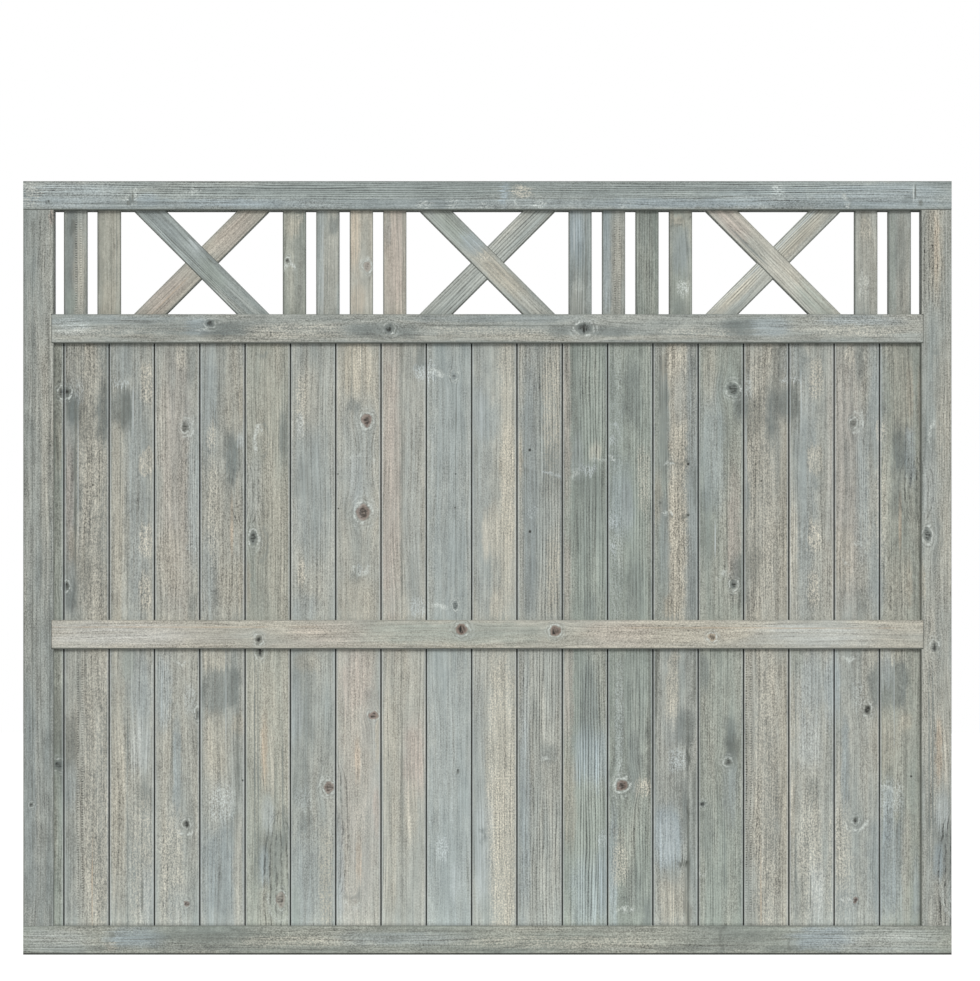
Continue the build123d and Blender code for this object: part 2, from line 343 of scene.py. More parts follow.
class Timber(Nodes):
    """Adds the nodes of a piece whose grain runs along direction, an angle in degrees from the X axis."""

    def __init__(self, tree, marks, direction, face_y, seed, centre):
        super().__init__(tree)
        self.marks = marks
        self.centre = centre
        self.pixel_mm = MM_PER_PIXEL * (VIEW_DISTANCE + face_y - FRONT_FACE_Y) / VIEW_DISTANCE
        self.lean_x = cos(radians(direction))
        self.lean_z = sin(radians(direction))
        place = self.add("ShaderNodeTexCoord", {}, "Object")
        axes = self.outputs("ShaderNodeSeparateXYZ", {0: place})
        x = self.times_plus(axes[0], 1 / MM, -centre[0])
        self.z = self.times_plus(axes[2], 1 / MM, -centre[1])
        depth = self.times(axes[1], 1 / MM)
        self.along = self.total(self.times(x, self.lean_x), self.times(self.z, self.lean_z))
        self.across = self.total(self.times(x, self.lean_z), self.times(self.z, -self.lean_x))
        self.in_front = self.ramp(depth, 3.0, -3.0)
        self.add_grain(depth, seed)
        self.add_raggedness(seed)

    def add_grain(self, depth, seed):
        """The grain, flowing round each knot."""
        self.grain_across = self.across
        for mark in self.kinds("knot"):
            inputs = {"Across": self.grain_across, "Along": self.along, **self.spot(mark)}
            self.grain_across = self.group(flow_tree, inputs)["Across"]
        inputs = {"Across": self.grain_across, "Along": self.along, "Depth": depth, "Seed": seed}
        self.grain = self.group(grain_tree, {**inputs, "Spacing": GROWTH_SPACING})
        self.relief = self.grain["Streak"]
        self.wobble = self.about_zero(self.grain["Cloud"], 0.5)
        self.speckled = self.ramp(self.grain["Speckle"], 0.40, 0.62)
        self.cracked = self.ramp(self.grain["Speckle"], 0.60, 0.42, 0.35, 1.0)
        self.stain_depth = self.ramp(self.grain["Streak"], 0.1, 0.9, 0.7, 1.12)

    def add_raggedness(self, seed):
        """Marks are ragged: stains creep along the grain, and rings are never quite round."""
        across = self.times(self.across, 1 / RAGGED_WIDTH)
        along = self.times(self.along, 1 / RAGGED_LENGTH)
        noise = self.noise(self.vector(across, along, seed * 3.7), 3.0, roughness=0.5, output="Color")
        first, second, third = self.outputs("ShaderNodeSeparateColor", {0: noise})
        ragged_across = self.about_zero(first, RAGGED_ACROSS)
        self.ragged_along = self.about_zero(second, RAGGED_ALONG)
        self.mark_across = self.total(self.across, ragged_across)
        self.mark_along = self.total(self.along, self.ragged_along)
        self.loop_across = self.times_plus(ragged_across, 0.35, self.across)
        self.loop_along = self.times_plus(self.ragged_along, 0.5, self.along)
        self.stain_along = self.total(self.mark_along, self.about_zero(self.grain["Streak"], 8.0))
        self.broken = self.ramp(third, 0.38, 0.56, 0.1, 1.0)
        self.smeared = self.times(self.broken, self.ramp(self.grain["Speckle"], 0.38, 0.60, 0.15, 1.0))

    def kinds(self, *kinds):
        return [mark for mark in self.marks if mark["kind"] in kinds]

    def spot(self, mark):
        """Where a mark lies: its middle across and along, and its half sizes, in millimetres."""
        x = VIEW_POINT_X / MM + (mark["column"] - PHOTO_MIDDLE_COLUMN) * self.pixel_mm - self.centre[0]
        z = VIEW_POINT_Z / MM - (mark["row"] - VIEW_POINT_ROW) * self.pixel_mm - self.centre[1]
        half_x = mark["width"] * self.pixel_mm / 2
        half_z = mark["height"] * self.pixel_mm / 2
        upright = abs(self.lean_z) > abs(self.lean_x)
        return {
            "Centre across": x * self.lean_z - z * self.lean_x,
            "Centre along": x * self.lean_x + z * self.lean_z,
            "Half width": half_x if upright else half_z,
            "Half length": half_z if upright else half_x,
        }

    def inside(self, mark, across, along, edge, wobble):
        """1 within a mark's rounded box and 0 outside it."""
        inputs = {"Across": across, "Along": along, "Edge": edge, "Wobble": wobble, **self.spot(mark)}
        return self.group(area_tree, inputs)["Inside"]

    def add_stains(self, colour, texture):
        """Patches and speckles over the colour; wide patches also change how strongly the grain shows."""
        for mark in self.kinds("patch", "speckle"):
            is_dot = mark["width"] <= LARGEST_DOT
            if is_dot:
                inside = self.inside(mark, self.across, self.along, mark["edge"], 0.0)
            else:
                inside = self.inside(mark, self.mark_across, self.stain_along, mark["edge"], self.wobble)
            if mark["kind"] == "speckle":
                inside = self.times(inside, self.speckled)
            elif not is_dot:
                inside = self.times(inside, self.stain_depth)
            factor = self.times(inside, self.in_front, mark["strength"])
            colour = self.paint(colour, mark["colour"], factor)
            if mark["kind"] == "patch" and mark["width"] > SMALL_MARK:
                change = MORE_GRAIN if mark["colour"] in GRANULAR_COLOURS else LESS_GRAIN
                texture = self.times_plus(factor, change, texture)
        return colour, texture

    def shade_lines(self, mark):
        """Growth lines, lighter and darker by turns."""
        spacing = mark["spacing"]
        inside = self.inside(mark, self.across, self.along, 0.3, self.wobble)
        uneven = self.times_plus(self.grain["Band"], 1.6 * spacing, self.grain_across)
        uneven = self.times_plus(self.grain["Tone"], 2.2 * spacing, uneven)
        ridge = self.there_and_back(self.times(uneven, 1 / spacing))
        swing = self.about_zero(self.ramp(ridge, 0.02, 0.3), mark["strength"] / 2)
        return self.times(swing, self.times(inside, self.in_front))

    def shade_ladder(self, mark):
        """What a saw leaves: short rungs across, in columns along the grain."""
        inside = self.inside(mark, self.across, self.along, 0.15, 0.0)
        off_middle = self.less(self.across, self.spot(mark)["Centre across"])
        column = self.ramp(self.there_and_back(self.times(off_middle, 1 / LADDER_COLUMN)), 0.18, 0.38)
        wandering = self.times_plus(self.ragged_along, 0.3, self.along)
        rung = self.there_and_back(self.times(wandering, 1 / LADDER_RUNG))
        rung = self.ramp(rung, 0.1, 0.4, -0.65, 0.35)
        worn = self.times(self.ramp(self.broken, 0.0, 1.0, 0.5, 1.0), mark["strength"])
        return self.times(self.times(column, rung), worn, self.times(inside, self.in_front))

    def shade_loops(self, mark):
        """Dark lines that part round a branch."""
        inputs = {"Across": self.loop_across, "Along": self.loop_along, "Wobble": self.wobble}
        inputs = {**inputs, "Count": mark["count"], **self.spot(mark)}
        line = self.group(loops_tree, inputs)["Line"]
        line = self.times(line, self.ramp(self.broken, 0.1, 1.0, 0.4, 1.0))
        return self.times(line, self.times(self.in_front, -mark["strength"]))

    def add_shades(self, shade):
        shades = {"lines": self.shade_lines, "ladder": self.shade_ladder, "loops": self.shade_loops}
        for mark in self.kinds(*shades):
            shade = self.total(shade, shades[mark["kind"]](mark))
        return shade

    def paint_crack(self, mark, colour):
        wavy = self.total(self.across, self.about_zero(self.grain["Tone"], 2.5))
        inside = self.inside(mark, wavy, self.along, 0.6, self.times(self.wobble, 2.0))
        return self.paint(colour, mark["colour"], self.times(inside, self.in_front, mark["strength"]))

    def paint_arc(self, mark, colour):
        toward = radians(mark["toward"])
        inputs = {
            "Across": self.mark_across, "Along": self.mark_along, **self.spot(mark),
            "Toward across": cos(toward) * self.lean_z - sin(toward) * self.lean_x,
            "Toward along": cos(toward) * self.lean_x + sin(toward) * self.lean_z,
            "Spread": cos(radians(mark["spread"])), "Thickness": ARC_THICKENING * mark["thickness"],
        }
        on = self.times(self.group(arc_tree, inputs)["On"], self.in_front)
        return self.paint(colour, mark["colour"], self.times(on, self.times(self.smeared, mark["strength"])))

    def paint_knot(self, mark, colour):
        inputs = {"Across": self.mark_across, "Along": self.mark_along, "Wobble": self.wobble}
        parts = self.group(knot_tree, {**inputs, **self.spot(mark)})
        heart = mark["heart_strength"]
        rings = self.times(parts["Ring"], self.smeared, mark["ring_strength"] * 0.9)
        self.relief = self.less(self.relief, parts["Heart"])
        colour = self.paint(colour, "slate", self.times(parts["Shade"], KNOT_SHADE))
        colour = self.paint(colour, "white", rings)
        colour = self.paint(colour, "dark", self.times(parts["Rim"], self.broken, heart * 0.4))
        colour = self.paint(colour, mark["heart"], self.times(parts["Disc"], heart * 0.6))
        return self.paint(colour, "ink", self.times(parts["Heart"], self.cracked, heart))

    def add_features(self, colour):
        painters = {"crack": self.paint_crack, "arc": self.paint_arc, "knot": self.paint_knot}
        for mark in self.kinds(*painters):
            colour = painters[mark["kind"]](mark, colour)
        return colour

    def add_worn_edges(self, colour, edges):
        """Painted highlight and painted shade along long edges: (across place, width in millimetres, colour,
        strength).
        """
        for place, width, tint, strength in edges:
            near = self.ramp(self.math("ABSOLUTE", self.less(self.across, place)), width, width * 0.6)
            colour = self.paint(colour, tint, self.times(near, strength))
        return colour


def new_material(name):
    material = bpy.data.materials.new(name)
    material.use_nodes = True
    material.node_tree.nodes.clear()
    return material


def dress(node, material):
    """Gives a node of the frame its finish."""
    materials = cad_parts[node].data.materials
    materials.clear()
    materials.append(material)


# How strongly streaks, clouds and flecks show on each kind of piece
BOARD_GRAIN = (0.22, 0.27, 1.05)
LATH_GRAIN = (0.17, 0.27, 0.6)
BAR_GRAIN = (0.2, 0.27, 0.7)
FRAME_GRAIN = (0.18, 0.32, 1.2)

# The boards get cooler from one height to the other, in millimetres, by this much
COOL_FROM = 420.0
COOL_TO = 120.0
COOLING = 0.17


def dress_in_timber(node, marks, looks, strengths, direction, seed, edges, face_y=BOARD_FACE_Y,
                    centre=(0.0, 0.0), levels=()):
    """Weathered timber; levels say between which heights a board gets lighter, and by how much."""
    warmth, light, cool = looks
    streak, cloud, fleck = strengths
    material = new_material(f"{node}_timber")
    n = Timber(material.node_tree, marks, direction, face_y, seed, centre)
    tone = n.total(warmth, n.about_zero(n.grain["Tone"], 0.6), n.about_zero(n.grain["Band"], 0.2))
    shade = n.total(light, n.about_zero(n.grain["Band"], BAND), n.about_zero(n.grain["Cloud"], cloud))
    if levels:
        tone = n.less(tone, n.ramp(n.z, COOL_FROM, COOL_TO, 0.0, COOLING))
    for level_from, level_to, gain in levels:
        shade = n.total(shade, n.ramp(n.z, level_from, level_to, 0.0, gain))
    colour = n.mix(n.math("ADD", tone, 0.0, clamp=True), linear(cool), linear("warm_ground"))
    colour, texture = n.add_stains(colour, n.ramp(n.grain["Tone"], 0.32, 0.68, 0.65, 1.3))
    shade = n.total(
        shade,
        n.times(n.about_zero(n.grain["Streak"], streak), n.times_plus(texture, 0.4, 0.6)),
        n.times(n.grain["Fleck"], fleck, texture),
        n.times(n.grain["Growth"], -GROWTH),
    )
    colour = n.add("ShaderNodeVectorMath", {0: colour, "Scale": n.add_shades(shade)}, operation="SCALE")
    colour = n.add_worn_edges(n.add_features(colour), edges)
    roughness = n.ramp(n.grain["Streak"], 0.2, 0.8, 0.86, 0.72)
    n.surface(
        colour, roughness, n.relief, bump_strength=0.35, bump_distance=0.6 * MM,
        plain={"Specular IOR Level": 0.25},
    )
    dress(node, material)


# Marks of the boards, left to right
BOARD_MARKS = {
    1: [
        patch(57, 385, 7, 70, "dark", 0.4), patch(59, 450, 6, 50, "beige", 0.4),
        knot(64.6, 392.5, 10, 9, "dark", 1.0, 0.9), knot(66.5, 586, 6, 9, "dark", 0.8, 0.8),
        patch(59, 725, 12, 80, "dark", 0.5), knot(59.5, 764.5, 9, 9, "slate", 0.9, 0.7),
        patch(62, 762, 4, 60, "dark", 0.6),
    ],
    2: [
        patch(70, 480, 12, 240, "blue_grey", 0.4), patch(70, 500, 8, 110, "pink", 0.4),
        speckle(93, 480, 30, 280, "cream", 0.5), patch(74, 410, 14, 30, "slate", 0.8),
        patch(104, 414, 13, 56, "slate", 0.75, 0.6), speckle(80, 392, 8, 26, "pale", 0.6),
        crack(75.6, 490, 2.0, 170, "dark", 0.75), crack(78.4, 470, 1.2, 110, "pale", 0.5),
        patch(80, 500, 5, 30, "slate", 0.5), knot(64.6, 392.5, 10, 9, "dark", 1.0, 0.9),
        patch(71, 592, 14, 28, "slate", 0.5), patch(86, 566, 14, 44, "dark", 0.4),
        patch(85, 420, 18, 40, "dark", 0.4), knot(66.5, 586, 6, 9, "dark", 0.95, 0.9), dot(93.2, 485),
        patch(71, 742, 15, 52, "dark", 0.45), patch(71, 785, 14, 40, "blue_grey", 0.5),
        speckle(97, 790, 24, 290, "cream", 0.5), ladder(80.6, 790, 10, 270, 0.5),
        crack(93, 890, 1.0, 70, "orange", 0.6), patch(67, 399, 5, 50, "dark", 0.4),
        patch(106.5, 372, 4, 50, "dark", 0.4), patch(66.5, 578, 5, 34, "dark", 0.4),
        patch(73, 546, 8, 34, "beige", 0.7),
    ],
    3: [
        patch(117, 520, 12, 240, "beige", 0.5), patch(124, 363, 24, 36, "blue_grey", 0.5),
        patch(138, 500, 20, 240, "blue_grey", 0.6), patch(121, 406, 23, 36, "slate", 0.7, 0.3),
        patch(126, 408, 9, 40, "dark", 0.3, 0.5), crack(129, 402, 1.2, 30, "dark", 0.6),
        crack(124, 410, 1.0, 34, "dark", 0.5), crack(131, 420, 1.0, 30, "dark", 0.5),
        crack(133.5, 405, 1.4, 44, "pale", 0.6), speckle(121, 384, 22, 5, "pale", 0.8),
        crack(120.5, 500, 0.9, 130, "dark", 0.4), crack(127.5, 560, 0.9, 130, "dark", 0.45),
        speckle(148, 384, 13, 40, "cream", 0.8), patch(147, 463, 15, 26, "beige", 0.3, 0.15),
        speckle(147, 464, 15, 28, "cream", 0.6, 0.15), speckle(146.5, 540, 13, 30, "cream", 0.85),
        speckle(145.5, 593, 11, 34, "cream", 0.85), patch(118, 790, 14, 270, "beige", 0.5),
        crack(128, 790, 1.2, 250, "slate", 0.5), patch(142, 690, 22, 60, "pale_blue", 0.35),
        patch(142, 745, 20, 50, "pale", 0.4), patch(145, 796, 14, 28, "slate", 0.45),
        speckle(142, 860, 24, 120, "cream", 0.5), patch(148, 896, 14, 56, "pale", 0.4),
        crack(142.6, 893, 1.4, 32, "dark", 0.7), patch(112, 370, 4, 50, "dark", 0.4),
        patch(128, 663, 14, 30, "green_grey", 0.4),
    ],
    4: [
        patch(176, 480, 30, 260, "pink", 0.3), patch(172, 560, 24, 60, "beige", 0.4),
        patch(194, 492, 12, 140, "blue_grey", 0.6), lines(194, 495, 11, 140, 4.3, 0.36),
        lines(164, 480, 14, 270, 5.0, 0.22), knot(185.5, 427.5, 6, 8, "dark", 0.6, 0.8),
        arc(186, 427, 18, 20, 0, 120, "white", 0.6, 0.12), arc(197, 425, 8, 22, 180, 60, "white", 0.6, 0.3),
        arc(190, 556, 14, 18, 60, 70, "white", 0.6), arc(180, 562, 10, 14, 240, 60, "white", 0.5),
        speckle(181, 358, 9, 22, "cream", 0.6), patch(192, 366, 9, 40, "slate", 0.5),
        lines(164, 690, 15, 70, 4.5, 0.3), patch(164, 690, 15, 70, "pale_blue", 0.5),
        arc(181, 658, 11, 12, -90, 70, "white", 0.8, 0.4), patch(177, 770, 8, 100, "blue_grey", 0.75),
        crack(172.5, 740, 1.0, 90, "dark", 0.5), speckle(190, 700, 12, 30, "pale", 0.4),
        knot(199.2, 713.5, 6, 10, "dark", 0.95, 0.8), knot(187, 823.5, 6, 7, "dark", 0.9, 0.6),
        arc(187, 824, 22, 20, -90, 100, "white", 0.9, 0.16),
        arc(187, 822, 18, 16, -90, 80, "dark", 0.5, 0.2), knot(187, 903.5, 5, 6, "rust", 0.8, 0.4),
        arc(178, 906, 14, 8, 90, 60, "white", 0.7, 0.4), speckle(172, 870, 24, 120, "cream", 0.5),
        patch(177, 908, 24, 40, "blue_grey", 0.4), patch(193, 607, 10, 30, "slate", 0.4),
    ],
    5: [
        patch(209, 400, 16, 110, "blue_grey", 0.6), patch(209, 575, 16, 90, "blue_grey", 0.5),
        patch(233, 400, 18, 110, "beige", 0.4), patch(233, 590, 20, 60, "beige", 0.4),
        patch(232, 454, 15, 46, "slate", 0.8), speckle(212, 434, 9, 24, "cream", 0.7),
        speckle(213, 510, 10, 110, "cream", 0.5), patch(232, 524, 3, 54, "orange", 0.5),
        patch(214, 660, 26, 24, "beige", 0.5), patch(221, 688, 40, 44, "slate", 0.6, 0.2),
        patch(235, 684, 9, 44, "slate", 0.4), patch(229, 499, 10, 44, "slate", 0.4),
        patch(234, 822, 9, 44, "slate", 0.5), crack(226, 700, 1.0, 80, "pale", 0.5),
        crack(237.5, 752, 4.0, 80, "dark", 0.5), patch(215, 745, 26, 56, "beige", 0.5),
        speckle(223, 802, 24, 34, "pale", 0.5), arc(216, 798, 20, 16, 60, 60, "white", 0.6, 0.3),
        patch(220, 876, 38, 96, "blue_grey", 0.85), patch(238, 870, 9, 100, "beige", 0.4), dot(243, 780, 2),
        patch(238, 725, 12, 18, "beige", 0.7), patch(242, 399, 6, 56, "beige", 0.7),
        loops(245, 493, 34, 70, 3, 0.26), patch(241, 440, 7, 12, "pale", 0.5),
        patch(241, 586, 5, 44, "beige", 0.6),
    ],
    6: [
        patch(272, 410, 22, 120, "beige", 0.35), patch(256, 450, 14, 40, "slate", 0.25),
        patch(284, 436, 10, 56, "slate", 0.65), patch(278, 540, 22, 130, "beige", 0.35),
        arc(262, 348, 12, 18, -90, 60, "slate", 0.6, 0.3),
        arc(262, 441, 15, 34, 0, 100, "slate", 0.55, 0.16),
        arc(260, 440, 10, 26, 150, 100, "white", 0.8, 0.35), loops(245, 493, 34, 70, 3, 0.34),
        patch(254, 488, 16, 60, "pale", 0.25), knot(253.2, 539, 8, 13, "slate", 0.9, 0.9),
        arc(256, 543, 24, 40, -10, 75, "slate", 0.5, 0.14), lines(276, 420, 22, 130, 5.5, 0.25),
        lines(278, 560, 22, 100, 5.5, 0.2), knot(260, 651, 7, 11, "slate", 0.7, 0.9),
        crack(260.5, 651, 2.0, 9, "ink", 0.8), patch(265, 750, 6, 66, "orange", 0.5, 0.5),
        patch(270, 700, 16, 60, "beige", 0.3), patch(272, 850, 24, 50, "slate", 0.5),
        loops(279, 886, 36, 150, 3, 0.5), knot(281, 900, 8, 13, "pink", 0.7, 0.9),
        arc(281, 900, 26, 40, -120, 90, "white", 0.6, 0.14), crack(255, 760, 1.3, 200, "slate", 0.75),
        crack(258.5, 770, 1.2, 190, "slate", 0.7), crack(283, 800, 1.0, 100, "slate", 0.6),
        crack(275, 790, 1.0, 100, "slate", 0.4), patch(248, 588, 5, 44, "beige", 0.7),
        patch(245, 399, 4, 50, "beige", 0.4), patch(264, 866, 10, 34, "pale_blue", 0.5),
        patch(286, 831, 8, 44, "slate", 0.5), patch(272, 760, 8, 64, "cream", 0.5),
        patch(268, 815, 12, 34, "pale", 0.5),
    ],
    7: [
        patch(312, 490, 36, 130, "blue_grey", 0.5), patch(311, 400, 16, 60, "cream", 0.35),
        patch(306, 662, 22, 18, "beige", 0.6), speckle(302, 405, 11, 60, "cream", 0.8),
        speckle(301, 425, 8, 20, "pale", 0.7), speckle(303, 480, 16, 40, "slate", 0.4),
        speckle(302, 572, 8, 26, "cream", 0.8), lines(325, 480, 12, 260, 4.5, 0.22),
        patch(306, 610, 26, 30, "blue_grey", 0.5), patch(303, 700, 22, 110, "slate", 0.4),
        lines(325, 700, 14, 90, 4.5, 0.22), knot(329.5, 787, 9, 10, "rust", 0.7, 0.9),
        arc(329, 787, 18, 22, 180, 100, "white", 0.8, 0.15), speckle(303, 798, 16, 24, "pale", 0.5),
        patch(307, 822, 14, 20, "slate", 0.5), patch(306, 880, 26, 90, "blue_grey", 0.6),
        speckle(326, 880, 14, 100, "beige", 0.7), patch(296, 904, 10, 40, "green_grey", 0.45),
        patch(301, 784, 16, 56, "slate", 0.4), patch(296, 713, 12, 50, "pale", 0.4),
    ],
    8: [
        patch(358, 368, 36, 56, "beige", 0.8), crack(352, 375, 1.0, 50, "slate", 0.5),
        crack(362, 370, 1.0, 44, "slate", 0.5), patch(358, 460, 34, 110, "blue_grey", 0.45),
        patch(355, 405, 12, 12, "slate", 0.5), knot(366.5, 420.5, 10, 12, "rust", 0.85, 1.0),
        knot(363.7, 512, 13, 16, "rust", 0.8, 1.0), arc(362, 465, 26, 22, 80, 80, "white", 0.45, 0.2),
        arc(361, 560, 18, 26, -90, 70, "white", 0.7, 0.25), patch(355, 577, 12, 12, "slate", 0.5),
        speckle(360, 569, 5, 5, "pale", 0.9), patch(358, 602, 34, 44, "beige", 0.5), dot(338, 474),
        dot(338.5, 508.5), patch(356, 680, 30, 60, "pink", 0.4), knot(373.5, 715.5, 8, 7, "rust", 0.9, 0.8),
        patch(369, 697, 9, 18, "slate", 0.5), patch(367, 735, 8, 26, "slate", 0.4),
        loops(334, 826, 34, 150, 3, 0.45), patch(357.5, 762, 5, 40, "orange", 0.5),
        patch(359, 861, 6, 44, "orange", 0.45), arc(352, 886, 16, 26, -70, 80, "slate", 0.6, 0.25),
        arc(354, 893, 22, 30, -100, 60, "white", 0.6, 0.25), speckle(362, 810, 16, 60, "cream", 0.25),
        patch(378, 735, 5, 50, "beige", 0.7), patch(340, 870, 8, 80, "pale_blue", 0.45),
        patch(356, 483, 12, 50, "pale", 0.4), patch(364, 362, 14, 44, "cream", 0.5),
        patch(358, 790, 40, 270, "pink", 0.25), patch(357, 787, 14, 40, "slate", 0.25),
        patch(377, 811, 6, 60, "pink", 0.5),
    ],
    9: [
        patch(391, 480, 18, 270, "pink", 0.5), patch(413, 500, 20, 240, "blue_grey", 0.4),
        crack(402, 480, 2.0, 270, "dark", 0.4), patch(421, 358, 9, 22, "slate", 0.6),
        speckle(421, 372, 14, 14, "pale", 0.9), arc(424, 372, 16, 14, 90, 80, "slate", 0.8, 0.35),
        speckle(418, 606, 16, 16, "pale", 0.8), arc(424, 612, 20, 12, 90, 60, "slate", 0.6, 0.35),
        patch(414, 758, 20, 70, "pink", 0.6), crack(402, 790, 2.0, 260, "dark", 0.35),
        patch(390, 800, 14, 240, "beige", 0.4), lines(386, 800, 8, 240, 4.5, 0.22),
        patch(412, 810, 12, 56, "cream", 0.6),
    ],
    10: [
        patch(449, 480, 40, 270, "blue_grey", 0.6), arc(430, 376, 26, 16, 60, 60, "slate", 0.7, 0.3),
        arc(430, 380, 24, 20, 70, 60, "white", 0.9, 0.35), speckle(431, 371, 9, 18, "pale", 0.8),
        knot(454, 376, 6, 7, "blue_grey", 0.7, 0.9), crack(455.8, 490, 1.0, 230, "dark", 0.6),
        crack(449, 500, 1.0, 160, "slate", 0.4), dot(455.6, 474), dot(455.2, 507.5),
        knot(455, 605, 5, 7, "slate", 0.9, 0.9), arc(434, 610, 24, 12, 60, 60, "white", 0.9, 0.4),
        patch(449, 790, 42, 280, "blue_grey", 0.6), knot(457.6, 770.5, 3.5, 5, "dark", 0.8, 0.5),
        speckle(442, 848, 12, 24, "pale", 0.7), patch(456, 880, 10, 34, "pale", 0.35),
        crack(464, 860, 1.0, 90, "pale", 0.3),
    ],
    11: [
        patch(481, 480, 18, 270, "blue_grey", 0.5), patch(488, 420, 26, 40, "blue_grey", 0.5),
        speckle(507, 370, 20, 60, "cream", 0.55), speckle(508, 480, 16, 120, "cream", 0.95),
        speckle(502, 570, 18, 90, "cream", 0.3), patch(508, 480, 14, 240, "beige", 0.5),
        crack(487.5, 519, 1.0, 30, "dark", 0.5), patch(479, 760, 12, 200, "blue_grey", 0.5),
        speckle(502, 790, 28, 280, "cream", 0.8), patch(500, 748, 22, 50, "slate", 0.3),
        patch(505, 790, 22, 270, "beige", 0.3), arc(477, 836, 16, 16, 10, 80, "slate", 0.8, 0.4),
        patch(476, 855, 10, 50, "slate", 0.45), patch(479, 414, 10, 44, "pale", 0.4),
        patch(483, 850, 16, 90, "pale", 0.5), patch(486, 534, 8, 44, "cream", 0.6),
        patch(497, 605, 12, 26, "cream", 0.6), patch(495, 532, 12, 50, "cream", 0.5),
    ],
    12: [
        patch(530, 480, 14, 280, "blue_grey", 0.6), lines(549, 480, 26, 280, 6.2, 0.5),
        lines(521, 480, 8, 270, 5.0, 0.3), speckle(551, 420, 18, 130, "beige", 0.8),
        speckle(553, 570, 14, 80, "beige", 0.7), dot(529.7, 450, 2.6), dot(530, 531.5, 2.6),
        patch(552, 467, 18, 46, "slate", 0.5), arc(529, 458, 16, 26, 210, 70, "dark", 0.5, 0.2),
        arc(546, 488, 42, 30, 62, 42, "pale", 0.9, 0.1), speckle(533, 512, 12, 12, "pale", 0.6),
        lines(540, 700, 36, 120, 6.0, 0.55), lines(545, 860, 30, 140, 6.4, 0.55),
        patch(525, 790, 10, 230, "pale_blue", 0.4), patch(535, 725, 14, 60, "slate", 0.35),
        arc(550, 764, 18, 14, 90, 60, "white", 0.8), patch(548, 752, 16, 20, "slate", 0.45),
        patch(520, 456, 5, 44, "beige", 0.7),
    ],
    13: [
        patch(585, 480, 42, 280, "green_grey", 0.55), patch(566, 420, 9, 160, "pink", 0.45),
        patch(566, 580, 9, 90, "pink", 0.35), patch(577, 400, 14, 110, "slate", 0.3),
        lines(592, 400, 26, 140, 6.0, 0.55), lines(590, 560, 30, 140, 6.0, 0.4),
        patch(590, 510, 26, 90, "slate", 0.35), patch(596, 451, 13, 16, "cream", 0.4),
        speckle(588, 470, 18, 10, "pale", 0.9), arc(600, 452, 18, 18, -90, 80, "white", 0.8, 0.3),
        arc(580, 478, 14, 14, 150, 60, "white", 0.5, 0.4), patch(589, 705, 24, 120, "slate", 0.45),
        patch(590, 757, 30, 54, "pale_blue", 0.6), lines(589, 790, 26, 290, 5.6, 0.7),
        patch(568, 690, 10, 90, "pink", 0.4), patch(568, 800, 14, 90, "beige", 0.5),
        speckle(602, 838, 10, 12, "pale", 0.8), patch(588, 895, 32, 70, "pale_blue", 0.45),
        patch(603, 880, 10, 80, "pale_blue", 0.5), patch(590, 706, 16, 76, "slate", 0.55),
        patch(578, 457, 10, 40, "pale", 0.4), patch(591, 608, 14, 26, "slate", 0.5),
    ],
    14: [
        patch(631, 480, 40, 280, "green_grey", 0.6), speckle(616, 480, 14, 280, "pale", 0.3),
        patch(632, 392, 18, 70, "slate", 0.5), patch(634, 590, 18, 60, "slate", 0.4),
        lines(642, 480, 20, 280, 6.0, 0.36), arc(607, 434, 24, 26, 20, 40, "pale", 0.7, 0.14),
        speckle(612, 440, 8, 10, "pale", 0.8), arc(604, 460, 18, 10, 40, 60, "white", 0.8),
        speckle(613, 520, 10, 14, "pale", 0.8), speckle(613, 548, 8, 16, "pale", 0.7),
        patch(622, 500, 22, 70, "pale_blue", 0.4), patch(626, 505, 10, 44, "pale", 0.4),
        patch(613, 870, 8, 110, "pale_blue", 0.5), patch(649.5, 760, 6, 90, "dark", 0.65),
        speckle(643, 480, 12, 60, "cream", 0.5), patch(632, 720, 30, 130, "slate", 0.3),
        speckle(619, 730, 8, 130, "pale", 0.45), lines(638, 720, 24, 140, 6.0, 0.4),
        knot(622, 785, 11, 12, "rust", 0.95, 1.0), speckle(642, 786, 16, 16, "cream", 0.9),
        speckle(620, 860, 16, 50, "cream", 0.7), lines(636, 860, 24, 110, 6.0, 0.4),
        arc(615, 846, 18, 12, 40, 70, "slate", 0.7, 0.4), patch(634, 890, 16, 50, "slate", 0.4),
        arc(630, 914, 24, 12, 110, 50, "white", 0.9, 0.4), patch(648, 912, 10, 30, "slate", 0.6),
        patch(650, 640, 5, 260, "dark", 0.5), patch(634, 762, 12, 60, "slate", 0.5),
    ],
    15: [
        patch(661, 500, 14, 260, "green_grey", 0.6), patch(658, 498, 8, 50, "beige", 0.6),
        patch(666, 364, 12, 34, "beige", 0.6), patch(683, 392, 12, 50, "slate", 0.55),
        patch(672, 607, 16, 22, "beige", 0.8), patch(678, 400, 16, 130, "beige", 0.8),
        patch(676, 540, 16, 140, "beige", 0.8), speckle(679, 480, 18, 290, "cream", 0.75),
        patch(692, 480, 11, 290, "blue_grey", 0.6), speckle(663, 410, 8, 120, "slate", 0.6),
        patch(664, 540, 10, 80, "blue_grey", 0.5), arc(679, 460, 16, 9, -90, 100, "dark", 0.9, 0.35),
        arc(679, 513, 16, 9, -90, 100, "dark", 0.9, 0.35), dot(688, 464, 2.4), dot(688, 515, 2.4),
        arc(668, 466, 10, 6, 90, 80, "white", 0.8, 0.5), arc(668, 515, 10, 6, 90, 80, "white", 0.8, 0.5),
        knot(660, 503, 3, 4, "dark", 0.6, 0.3), crack(656.5, 700, 1.4, 90, "dark", 0.6),
